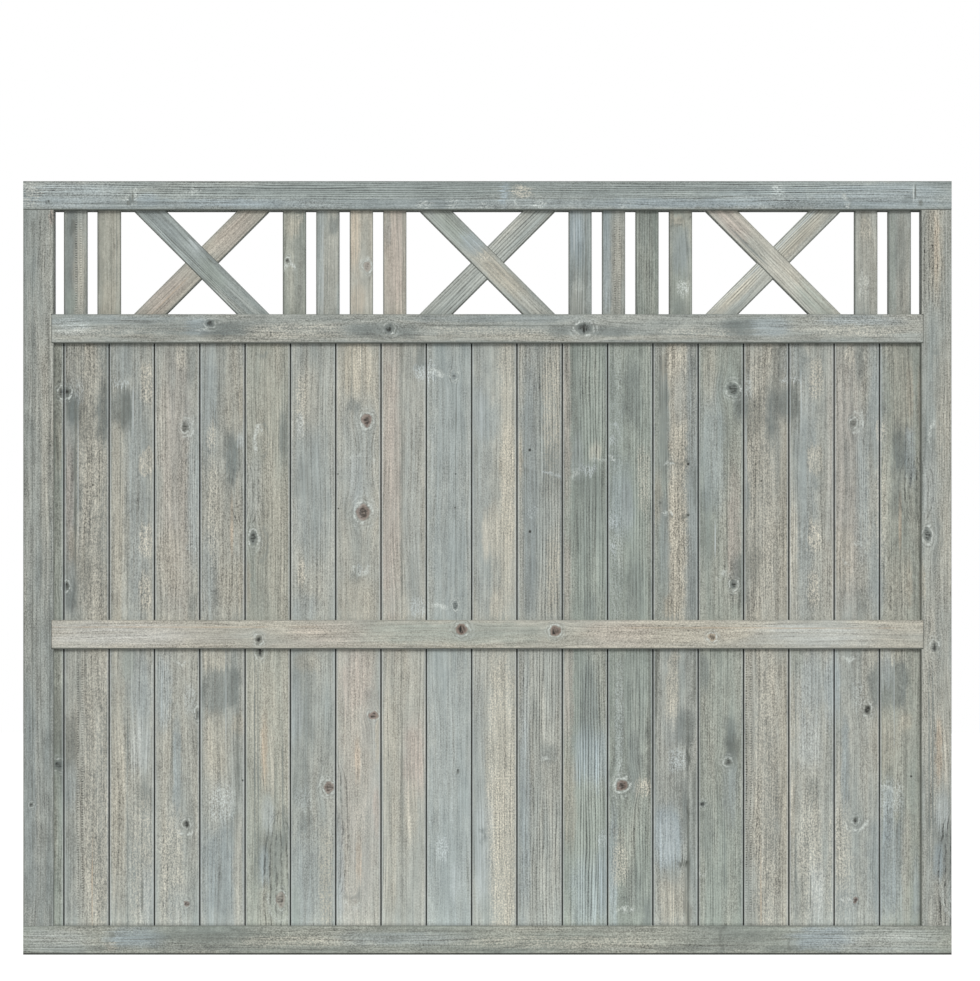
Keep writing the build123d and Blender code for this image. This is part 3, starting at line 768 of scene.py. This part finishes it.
        patch(672, 700, 14, 90, "beige", 0.4), patch(675, 678, 20, 30, "slate", 0.25),
        patch(672, 728, 16, 34, "blue_grey", 0.5), speckle(672, 690, 12, 70, "cream", 0.6),
        patch(686, 725, 18, 34, "slate", 0.6), speckle(678, 760, 18, 22, "pale", 0.8),
        patch(688, 757, 4, 11, "dark", 0.9), patch(684, 796, 8, 50, "slate", 0.5),
        patch(667, 836, 26, 54, "pale_blue", 0.8), patch(668, 838, 18, 40, "pale", 0.4),
        speckle(667, 840, 18, 44, "pale", 0.7), crack(688, 842, 1.8, 170, "dark", 0.85),
        patch(687.5, 812, 4, 12, "ink", 0.75), patch(684, 861, 11, 6, "dark", 0.8), dot(687.5, 862, 3),
        patch(674, 900, 26, 50, "beige", 0.5), patch(669, 902, 20, 36, "cream", 0.4),
        speckle(687, 895, 7, 60, "dark", 0.7), patch(654.6, 700, 4, 150, "dark", 0.4),
        patch(694.5, 676, 6, 50, "dark", 0.5), patch(694.5, 788, 6, 50, "dark", 0.5),
        patch(695.4, 359, 4, 40, "dark", 0.5), patch(695.4, 487, 4, 44, "dark", 0.5),
        patch(680, 394, 14, 60, "blue_grey", 0.4), patch(684, 816, 8, 44, "slate", 0.5),
        patch(673, 363, 12, 34, "cream", 0.5),
    ],
    16: [
        patch(709, 378, 14, 60, "beige", 0.4), patch(712, 450, 24, 120, "pale_blue", 0.35),
        patch(706, 530, 12, 80, "slate", 0.35), patch(734, 530, 12, 110, "pink", 0.5),
        crack(727, 480, 1.0, 240, "dark", 0.4), patch(738, 406, 12, 26, "slate", 0.7),
        knot(732.6, 389.5, 11, 11, "slate", 0.8, 1.0), crack(732.6, 389, 8, 1.6, "ink", 0.7),
        crack(715, 538, 1.2, 34, "pale", 0.8), patch(738, 568, 12, 26, "slate", 0.6),
        knot(733.5, 585, 7, 8, "slate", 0.9, 0.9), arc(726, 580, 14, 14, 120, 70, "white", 0.7, 0.4),
        lines(712, 700, 20, 100, 4.5, 0.25), patch(730, 736, 12, 44, "slate", 0.7, 0.7),
        patch(734, 752, 14, 30, "dark", 0.55), knot(728.5, 762, 8, 8, "dark", 0.9, 0.8),
        patch(704, 672, 10, 40, "slate", 0.6), patch(707, 828, 12, 50, "slate", 0.35),
        knot(702, 803.5, 5, 5, "slate", 0.9, 0.7), patch(730, 790, 14, 60, "blue_grey", 0.6),
        arc(702, 868, 10, 12, -90, 80, "white", 0.7, 0.4), lines(714, 860, 26, 130, 4.5, 0.28),
        crack(724, 850, 1.0, 100, "slate", 0.6), patch(740.6, 388, 5, 60, "dark", 0.55),
        patch(740.6, 580, 5, 64, "dark", 0.55), patch(700, 730, 4, 170, "dark", 0.3),
    ],
}

# The photo shows the marks of boards 2 to 6 once more on boards 17 to 20, and those of board 6 on the
# right stile too, moved by these pixels
BOARDS_BACK = 15
BOARD_ON_STILE = 6
REPEAT_COLUMNS = 667.7
STILE_COLUMNS = 674.0
REPEAT_ROWS = -4.0
HALF_BOARD_COLUMNS = 21

# What boards 17 to 20 have besides
EXTRA_MARKS = {
    17: [patch(745.6, 480, 4, 260, "dark", 0.3)],
    18: [
        patch(801, 356, 12, 34, "slate", 0.4), patch(817, 471, 14, 40, "slate", 0.35),
        patch(793, 550, 8, 100, "cream", 0.5), patch(793, 805, 8, 60, "cream", 0.5),
        patch(799, 894, 14, 44, "slate", 0.4),
    ],
    19: [],
    20: [
        patch(886, 665, 10, 40, "pale", 0.4), patch(900, 609, 14, 30, "slate", 0.3),
        patch(888, 819, 10, 56, "pale_blue", 0.5), patch(910, 460, 10, 56, "pale_blue", 0.4),
        patch(916, 888, 7, 64, "blue_grey", 0.6),
    ],
}


def repeated(index):
    """A board's marks, moved to where the photo shows them once more."""
    columns = STILE_COLUMNS if index == BOARD_ON_STILE else REPEAT_COLUMNS
    return [
        dict(mark, column=mark["column"] + columns, row=mark["row"] + REPEAT_ROWS)
        for mark in BOARD_MARKS[index]
    ]


def marks_of_board(index, middle):
    """A board's own marks, or for the last boards those that the photo repeats near their middle in mm."""
    if index in BOARD_MARKS:
        return BOARD_MARKS[index]
    column = PHOTO_MIDDLE_COLUMN + (middle - VIEW_POINT_X / MM) / MM_PER_PIXEL
    near = repeated(index - BOARDS_BACK) + repeated(index - BOARDS_BACK + 1)
    on_board = [
        mark for mark in near if abs(mark["column"] - column) < HALF_BOARD_COLUMNS + mark["width"] / 2
    ]
    return on_board + EXTRA_MARKS[index]


# Each board's warmth, lightness and cool colour, and how much lighter it is below the batten
BOARD_LOOKS = {
    1: (0.25, 0.81, "green_ground", 0.13),
    2: (0.55, 0.80, "cool_ground", 0.07),
    3: (0.50, 0.93, "cool_ground", 0.04),
    4: (0.50, 0.92, "cool_ground", 0.06),
    5: (0.45, 0.90, "cool_ground", 0.08),
    6: (0.50, 0.87, "green_ground", 0.15),
    7: (0.40, 0.96, "cool_ground", 0.05),
    8: (0.55, 0.98, "cool_ground", 0.12),
    9: (0.60, 0.98, "cool_ground", 0.08),
    10: (0.25, 1.04, "cool_ground", 0.09),
    11: (0.48, 0.99, "cool_ground", 0.06),
    12: (0.35, 0.82, "cool_ground", 0.08),
    13: (0.12, 0.82, "green_ground", 0.08),
    14: (0.15, 0.86, "green_ground", 0.03),
    15: (0.40, 0.82, "cool_ground", 0.08),
    16: (0.25, 0.87, "green_ground", 0.03),
    17: (0.60, 0.81, "cool_ground", 0.08),
    18: (0.45, 0.93, "cool_ground", 0.07),
    19: (0.45, 0.89, "cool_ground", 0.04),
    20: (0.40, 0.85, "green_ground", 0.09),
}

# Between which heights in millimetres all boards get lighter or darker: painted light towards the foot and
# above the batten, against the shade of the bottom rail's and the batten's ledges, ending at the batten, and
# a painted shadow line along the bottom rail
BATTEN_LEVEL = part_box("batten_front")[0].z / MM
BELOW_BATTEN = (BATTEN_LEVEL, BATTEN_LEVEL - 1.0)
PAINTED_LIGHT_AND_SHADE_LEVELS = (
    (185.0, 60.0, 0.14), (88.0, 60.0, 0.18), (684.0, 652.0, 0.15),
    (*BELOW_BATTEN, -0.15), (60.5, 59.5, -0.25),
)

# How far a tongue stands out from its board, how wide the painted highlight along the boards' eased edges is,
# and how far the ink painted as shade in the gap between two boards runs past the tongue
TONGUE_REACH = 8.5
EDGE_HIGHLIGHT_WIDTH = 3.4
JOINT_SHADE_SPARE = 1.05
UPRIGHT = 90

for index, (warmth, light, cool, gain_below) in BOARD_LOOKS.items():
    node = f"board_{index:02d}"
    low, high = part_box(node)
    left = low.x / MM
    right = high.x / MM
    tongue = TONGUE_REACH if index > 1 else 0.0
    # Pale lines along both edges are a painted highlight on the eased arrises; the ink over the tongue is
    # painted shade in the joint's gap
    edges = [
        (left + tongue, EDGE_HIGHLIGHT_WIDTH, "pale", 0.36), (right, EDGE_HIGHLIGHT_WIDTH, "pale", 0.34),
        (left + tongue / 2, tongue / 2 + JOINT_SHADE_SPARE, "ink", 1.0),
    ]
    dress_in_timber(
        node, marks_of_board(index, (left + right) / 2), (warmth, light, cool), BOARD_GRAIN, UPRIGHT, index,
        edges, levels=((*BELOW_BATTEN, gain_below), *PAINTED_LIGHT_AND_SHADE_LEVELS),
    )

# Laths of the lattice band: warmth, lightness, cool colour and marks
LATH_SEEDS = 40
LATH_LOOKS = [
    (0.30, 0.88, "cool_ground", [
        patch(70, 262, 12, 110, "slate", 0.55), patch(73, 229, 6, 12, "dark", 0.6),
        patch(80, 270, 12, 100, "beige", 0.5), ladder(79, 264, 9, 104, 0.6),
        patch(72, 300, 12, 24, "green_grey", 0.6),
    ]),
    (0.60, 0.94, "green_ground", [
        speckle(101, 264, 5, 104, "dark", 0.5), patch(110, 300, 14, 40, "beige", 0.5),
        crack(112, 262, 1.0, 90, "dark", 0.35), crack(117, 262, 1.0, 100, "slate", 0.4),
    ]),
    (0.25, 0.94, "green_ground", [
        patch(299, 262, 12, 110, "slate", 0.35), knot(288, 260.5, 4, 5, "dark", 1.0, 0.9),
        arc(290, 271, 10, 14, 90, 110, "white", 0.9, 0.4), patch(293, 225, 14, 20, "beige", 0.5),
        speckle(300, 218, 8, 12, "cream", 0.6),
    ]),
    (0.30, 0.99, "cool_ground", [
        patch(319, 264, 8, 110, "blue_grey", 0.5), crack(323, 262, 1.4, 100, "pale", 0.5),
        patch(331, 264, 14, 110, "beige", 0.35), patch(333, 225, 10, 16, "slate", 0.6),
        crack(328, 270, 1.0, 90, "slate", 0.4),
    ]),
    (0.72, 1.13, "cool_ground", [
        patch(355, 240, 10, 60, "orange", 0.35), patch(366, 250, 10, 80, "slate", 0.3),
        knot(367.5, 267, 7, 8, "pink", 0.7, 1.0), arc(366, 268, 14, 18, 60, 90, "white", 0.7, 0.25),
        patch(358, 300, 14, 30, "orange", 0.3), crack(356, 262, 1.0, 100, "slate", 0.35),
    ]),
    (0.78, 1.02, "cool_ground", [
        patch(394, 262, 20, 110, "pink", 0.6), crack(403, 262, 1.0, 100, "dark", 0.4),
        patch(388, 230, 6, 34, "blue_grey", 0.4),
    ]),
    (0.15, 0.88, "cool_ground", [
        patch(577, 238, 16, 50, "pale_blue", 0.7), patch(580, 262, 20, 34, "slate", 0.4),
        crack(585.5, 262, 2.0, 104, "dark", 0.5), crack(574, 240, 1.4, 40, "pale", 0.6),
        speckle(576, 302, 14, 22, "dark", 0.5), lines(583, 262, 14, 110, 4.5, 0.35),
    ]),
    (0.20, 0.88, "cool_ground", [
        patch(606, 262, 10, 110, "pale_blue", 0.45), patch(617, 262, 12, 110, "beige", 0.35),
        ladder(617, 262, 9, 104, 0.45), crack(611, 262, 1.0, 104, "slate", 0.5),
    ]),
    (0.05, 0.74, "green_ground", [
        lines(646, 262, 22, 110, 5.0, 0.3), patch(646, 230, 20, 40, "slate", 0.3),
    ]),
    (0.30, 0.88, "green_ground", [
        arc(675, 208, 34, 36, -60, 50, "dark", 0.95, 0.1), arc(675, 204, 32, 34, -60, 50, "dark", 0.6, 0.12),
        patch(676, 219, 16, 10, "beige", 0.6), patch(680, 250, 18, 44, "blue_grey", 0.7),
        speckle(683, 287, 12, 16, "white", 0.8), patch(679, 308, 18, 20, "slate", 0.4),
    ]),
    (0.28, 0.94, "cool_ground", [
        speckle(866, 230, 12, 20, "cream", 0.6), speckle(863, 285, 10, 24, "white", 0.6),
        patch(865, 262, 20, 110, "beige", 0.3),
    ]),
    (0.25, 0.85, "cool_ground", [
        patch(891, 262, 9, 110, "green_grey", 0.5), patch(903, 262, 12, 110, "beige", 0.35),
        crack(889, 262, 1.2, 104, "slate", 0.6), patch(901, 250, 12, 50, "slate", 0.3),
    ]),
]
for index, (*looks, marks) in enumerate(LATH_LOOKS, 1):
    node = f"lath_{index:02d}"
    low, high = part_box(node)
    # Dark lines along the long edges, stronger on the left: painted shade on the eased arrises
    edges = [(low.x / MM, 2.8, "dark", 0.8), (high.x / MM, 2.0, "dark", 0.5)]
    dress_in_timber(node, marks, looks, LATH_GRAIN, UPRIGHT, LATH_SEEDS + index, edges)

# Diagonal bars; a mark's width runs along the bar and its height across it
BAR_SEEDS = 60
BAR_ANGLE = 45
HALF_BAR_WIDTH = 22.5
# Dark lines along both long edges of a bar, stronger along the lower edge: painted shade on the eased arrises
BAR_EDGE_SHADE = ((HALF_BAR_WIDTH, 3.0, "dark", 0.85), (-HALF_BAR_WIDTH, 2.2, "dark", 0.4))
BAR_LOOKS = {
    "cross_1_falling_bar": (0.05, 0.90, "cool_ground", [
        lines(191, 264, 120, 11, 4.6, 0.5), crack(186, 254, 70, 1.2, "dark", 0.5),
        crack(206, 279, 60, 1.2, "dark", 0.6), patch(196, 246, 14, 10, "pale", 0.5),
        patch(211, 261, 7, 2.4, "dark", 0.7), patch(214, 276, 34, 16, "green_grey", 0.7),
        patch(165, 226, 40, 14, "blue_grey", 0.5),
    ]),
    "cross_1_rising_bar": (0.75, 0.93, "cool_ground", [
        patch(235, 232, 50, 20, "pink", 0.4), patch(165, 296, 60, 20, "pink", 0.5),
        crack(170, 296, 50, 1.0, "orange", 0.5), speckle(222, 245, 30, 10, "cream", 0.4),
    ]),
    "cross_2_falling_bar": (0.33, 1.02, "cool_ground", [
        patch(452, 228, 44, 18, "green_grey", 0.7), lines(448, 224, 44, 18, 4.6, 0.3),
        patch(472, 243, 26, 16, "pale_blue", 0.6), patch(500, 274, 60, 20, "beige", 0.7),
        speckle(482, 256, 12, 10, "cream", 0.6),
    ]),
    "cross_2_rising_bar": (0.30, 0.98, "cool_ground", [lines(488, 262, 150, 24, 5.4, 0.55)]),
    "cross_3_falling_bar": (0.65, 1.12, "cool_ground", [
        patch(732, 223, 44, 16, "pink", 0.5), loops(744, 247, 60, 26, 4, 0.35),
        lines(790, 282, 80, 20, 5.0, 0.4), patch(816, 302, 50, 18, "green_grey", 0.6),
        crack(752, 250, 44, 1.2, "slate", 0.7),
    ]),
    "cross_3_rising_bar": (0.45, 1.10, "cool_ground", [
        lines(770, 254, 150, 18, 4.4, 0.8), crack(773, 252, 140, 1.4, "pale", 0.6),
        patch(800, 238, 60, 10, "beige", 0.6), patch(735, 296, 50, 10, "beige", 0.6),
        speckle(795, 240, 40, 8, "dark", 0.5),
    ]),
}
for index, (node, (*looks, marks)) in enumerate(BAR_LOOKS.items(), 1):
    low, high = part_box(node)
    centre = ((low.x + high.x) / 2 / MM, (low.z + high.z) / 2 / MM)
    direction = -BAR_ANGLE if "falling" in node else BAR_ANGLE
    dress_in_timber(node, marks, looks, BAR_GRAIN, direction, BAR_SEEDS + index, BAR_EDGE_SHADE, centre=centre)

# Frame members
FRAME_SEEDS = 80
FRAME_MARKS = {
    "top_rail": [
        speckle(32, 195, 16, 24, "cream", 0.6), lines(280, 190, 500, 14, 4.0, 0.8),
        lines(720, 190, 420, 14, 4.2, 0.8), lines(490, 198, 900, 8, 5.2, 0.3),
        patch(480, 189, 640, 16, "slate", 0.42), patch(490, 204, 880, 8, "pale_blue", 0.3),
        patch(70, 195, 100, 24, "pale_blue", 0.45), knot(49, 202, 3.5, 3.5, "dark", 0.8, 0.3),
        speckle(128, 201, 4, 11, "white", 0.7), speckle(136, 196, 3, 18, "white", 0.6),
        crack(133, 197, 2, 9, "dark", 0.7), crack(130.5, 200, 3, 8, "slate", 0.8),
        crack(128.5, 203, 3, 4, "dark", 0.7), patch(148, 200, 20, 12, "pale_blue", 0.5),
        patch(230, 203, 120, 8, "pale_blue", 0.6), speckle(193, 191, 10, 10, "white", 0.5),
        patch(420, 204, 140, 8, "blue_grey", 0.6), speckle(424, 205, 14, 8, "white", 0.7),
        speckle(453, 204, 8, 10, "white", 0.7), speckle(484, 206, 8, 6, "white", 0.6),
        patch(505, 194, 7, 20, "pale_blue", 0.8), speckle(522, 192, 18, 12, "cream", 0.8),
        arc(518, 200, 8, 12, 200, 60, "white", 0.8), speckle(540, 205, 12, 6, "white", 0.7),
        speckle(625, 204, 6, 8, "white", 0.6), patch(690, 203, 140, 8, "pale_blue", 0.5),
        speckle(778, 190, 10, 12, "white", 0.6), arc(842, 203, 14, 16, 30, 70, "dark", 0.7, 0.3),
        arc(840, 203, 14, 16, 30, 70, "white", 0.8, 0.4), patch(880, 196, 130, 24, "pale_blue", 0.5),
        patch(770, 198, 100, 20, "pale_blue", 0.3), crack(915, 192, 1.6, 16, "dark", 0.9),
        crack(920, 203, 5, 7, "dark", 0.7), crack(913, 193, 1.2, 16, "white", 0.7),
        patch(908, 200, 12, 10, "slate", 0.5),
    ],
    "bottom_rail": [
        patch(55, 940, 66, 24, "pale", 0.35), lines(55, 940, 60, 22, 5.0, 0.3),
        patch(136, 937, 52, 20, "pale_blue", 0.65), speckle(290, 942, 110, 12, "cream", 0.5),
        patch(490, 948, 900, 6, "slate", 0.3), speckle(560, 942, 200, 12, "cream", 0.5),
        patch(400, 938, 120, 14, "blue_grey", 0.6), arc(116, 943, 16, 18, 160, 70, "dark", 0.8, 0.3),
        speckle(110, 946, 10, 8, "cream", 0.8), arc(728, 938, 16, 26, 170, 80, "dark", 0.8, 0.25),
        patch(824, 937, 60, 20, "pale_blue", 0.7), arc(794, 944, 12, 16, 170, 70, "dark", 0.7, 0.3),
        patch(880, 940, 100, 24, "pale", 0.3), patch(200, 938, 110, 22, "slate", 0.4),
        patch(730, 940, 90, 22, "slate", 0.3), lines(900, 940, 90, 22, 5.0, 0.3),
    ],
    "mid_rail": [
        speckle(74, 326, 34, 18, "pale", 0.6), lines(74, 326, 40, 20, 4.6, 0.3),
        patch(130, 320, 120, 8, "blue_grey", 0.6), speckle(130, 332, 140, 10, "cream", 0.35),
        patch(198, 326, 22, 18, "pale_blue", 0.6), knot(210.5, 323.5, 10, 7, "slate", 0.8, 0.8),
        arc(211, 324, 14, 10, -30, 110, "dark", 0.9, 0.2), arc(206, 334, 16, 10, 120, 60, "white", 0.6, 0.3),
        patch(200, 331, 100, 18, "slate", 0.45), patch(228, 330, 40, 14, "slate", 0.7),
        speckle(300, 331, 90, 14, "cream", 0.45), patch(490, 338, 880, 6, "beige", 0.3),
        patch(370, 331, 46, 14, "slate", 0.65), knot(389, 328.5, 9, 9, "slate", 0.9, 1.0),
        arc(388, 329, 16, 13, 60, 100, "dark", 0.8, 0.2), patch(406, 331, 28, 14, "slate", 0.65),
        patch(500, 319, 160, 7, "blue_grey", 0.6), crack(500, 325.5, 150, 1.0, "dark", 0.6),
        speckle(490, 332, 110, 10, "cream", 0.4), knot(584, 328.5, 13, 11, "slate", 0.9, 1.0),
        crack(584, 328.5, 2, 10, "ink", 0.8), patch(610, 331, 36, 12, "slate", 0.55),
        patch(560, 331, 22, 12, "slate", 0.5), patch(738, 329, 34, 18, "slate", 0.7),
        patch(772, 327, 34, 20, "pale_blue", 0.5), speckle(700, 333, 70, 10, "cream", 0.35),
        patch(860, 320, 80, 10, "pale_blue", 0.5), speckle(860, 332, 90, 10, "cream", 0.4),
    ],
    "batten_front": [
        knot(259, 640, 6, 10, "dark", 0.9, 0.9), knot(462, 629, 11, 10, "rust", 1.0, 1.0),
        knot(555, 631, 9, 9, "rust", 0.95, 0.9), knot(712, 637, 7, 7, "orange", 0.7, 0.9),
        patch(455, 633, 190, 22, "green_grey", 0.6), patch(125, 634, 160, 24, "pink", 0.25),
        patch(115, 634, 130, 24, "pale", 0.3), patch(815, 634, 110, 24, "pale", 0.35),
        patch(330, 634, 70, 24, "pink", 0.3), patch(620, 634, 60, 24, "pink", 0.3),
        crack(180, 627, 200, 1.2, "orange", 0.5), crack(760, 628, 220, 1.2, "orange", 0.5),
    ],
    "left_stile": [
        crack(33, 560, 1.2, 700, "dark", 0.45), crack(41, 560, 1.0, 700, "dark", 0.3),
        crack(50, 560, 1.2, 700, "dark", 0.35), patch(30, 800, 14, 200, "blue_grey", 0.5),
        speckle(52, 220, 5, 16, "pink", 0.8), patch(46, 480, 10, 240, "beige", 0.3),
        knot(32, 804, 4, 5, "dark", 0.7, 0.6),
    ],
    "right_stile": [
        patch(936, 250, 12, 90, "beige", 0.6), patch(936, 245, 5, 70, "orange", 0.25),
        loops(930, 262, 26, 110, 3, 0.35),
    ],
}
FRAME_MARKS["right_stile"] += repeated(BOARD_ON_STILE)
FRAME_LOOKS = {
    "top_rail": (0, 0.10, 0.85, "cool_ground"),
    "bottom_rail": (0, 0.30, 0.87, "green_ground"),
    "mid_rail": (0, 0.32, 0.91, "cool_ground"),
    "batten_front": (0, 0.80, 1.05, "cool_ground"),
    "batten_back": (0, 0.60, 0.95, "cool_ground"),
    "left_stile": (UPRIGHT, 0.30, 0.82, "cool_ground"),
    "right_stile": (UPRIGHT, 0.40, 0.90, "cool_ground"),
}
for index, (node, (direction, *looks)) in enumerate(FRAME_LOOKS.items(), 1):
    low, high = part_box(node)
    # Dark lines along the long edges are painted shade on the eased arrises, darkest under the rails; the ink
    # along the bottom rail's lower edge is painted shade too
    if direction == UPRIGHT:
        edges = [(low.x / MM, 2.4, "dark", 0.6), (high.x / MM, 2.0, "dark", 0.3)]
    else:
        edges = [(-high.z / MM, 2.4, "dark", 0.3), (-low.z / MM, 2.6, "dark", 0.85)]
    if node == "bottom_rail":
        edges.append((-low.z / MM, 4.2, "ink", 0.9))
    dress_in_timber(
        node, FRAME_MARKS.get(node, []), looks, FRAME_GRAIN, direction, FRAME_SEEDS + index, edges,
        face_y=FRONT_FACE_Y,
    )


MOTTLES_PER_METRE = 900.0


def make_steel():
    """Dull zinc-plated steel with a fine mottle."""
    material = new_material("screw_steel_finish")
    n = Nodes(material.node_tree)
    place = n.add("ShaderNodeTexCoord", {}, "Object")
    finely = n.add("ShaderNodeVectorMath", {0: place, "Scale": MOTTLES_PER_METRE}, operation="SCALE")
    mottle = n.noise(finely, 3.0)
    colour = n.mix(mottle, linear("dark"), linear("steel"))
    roughness = n.ramp(mottle, 0.2, 0.8, 0.35, 0.6)
    n.surface(colour, roughness, mottle, bump_strength=0.2, bump_distance=0.1 * MM, plain={"Metallic": 0.9})
    return material


screw_steel = make_steel()
for node in ("frame_screws", "mid_rail_screws", "batten_screws"):
    dress(node, screw_steel)


# A white studio: a floor that keeps the shadow, a sky that lights softly, and one large lamp
def seen_directly(n):
    """1 for rays from the camera or by way of a mirror or glass, and 0 for light on the object."""
    path = n.outputs("ShaderNodeLightPath", {})
    seen = n.math("MAXIMUM", path["Is Camera Ray"], path["Is Glossy Ray"])
    return n.math("MAXIMUM", seen, path["Is Transmission Ray"])


def make_floor(half, brightness, glow):
    """A square floor; its own glow lifts it to white where it is seen directly."""
    mesh = bpy.data.meshes.new("floor")
    corners = [(-half, -half, 0), (half, -half, 0), (half, half, 0), (-half, half, 0)]
    mesh.from_pydata(corners, [], [(0, 1, 2, 3)])
    floor = bpy.data.objects.new("floor", mesh)
    bpy.context.scene.collection.objects.link(floor)
    material = new_material("floor_white")
    n = Nodes(material.node_tree)
    white = {"Color": (1, 1, 1, 1), "Strength": n.times(seen_directly(n), glow)}
    lit = n.add("ShaderNodeEmission", white)
    matt = n.add("ShaderNodeBsdfDiffuse", {"Color": (brightness, brightness, brightness, 1)})
    n.outputs("ShaderNodeOutputMaterial", {0: n.add("ShaderNodeAddShader", {0: lit, 1: matt})})
    mesh.materials.append(material)


def make_world(fill):
    """A white sky that lights the object at fill strength and is seen at full strength."""
    world = bpy.data.worlds.new("studio")
    bpy.context.scene.world = world
    world.use_nodes = True
    world.node_tree.nodes.clear()
    n = Nodes(world.node_tree)
    strength = n.ramp(seen_directly(n), 0.0, 1.0, fill, 1.0)
    sky = n.add("ShaderNodeBackground", {"Color": (1, 1, 1, 1), "Strength": strength})
    n.outputs("ShaderNodeOutputWorld", {0: sky})


def make_lamp(toward, strength, softness):
    """A distant lamp of this many degrees across; toward points from the panel to the lamp."""
    lamp = bpy.data.lights.new("key_lamp", "SUN")
    lamp.energy = strength
    lamp.angle = radians(softness)
    lamp_object = bpy.data.objects.new("key_lamp", lamp)
    lamp_object.rotation_euler = Vector(toward).to_track_quat("Z", "Y").to_euler()
    bpy.context.scene.collection.objects.link(lamp_object)


def make_camera():
    width_seen = PHOTO_WIDTH * MM_PER_PIXEL * MM
    camera = bpy.data.cameras.new("camera")
    camera.sensor_width = SENSOR_WIDTH_MM
    camera.lens = SENSOR_WIDTH_MM * VIEW_DISTANCE / width_seen
    camera.clip_end = 200
    camera.shift_y = (PICTURE_MIDDLE_Z - VIEW_POINT_Z) / width_seen
    camera_object = bpy.data.objects.new("camera", camera)
    camera_object.location = (VIEW_POINT_X, FRONT_FACE_Y - VIEW_DISTANCE, VIEW_POINT_Z)
    camera_object.rotation_euler = (radians(90), 0, 0)
    bpy.context.scene.collection.objects.link(camera_object)
    bpy.context.scene.camera = camera_object


make_floor(half=40.0, brightness=0.8, glow=0.6)
make_world(fill=0.55)
make_lamp(toward=(0.12, -0.85, 0.36), strength=1.74, softness=18)
make_camera()
bpy.context.scene.view_settings.view_transform = "Standard"
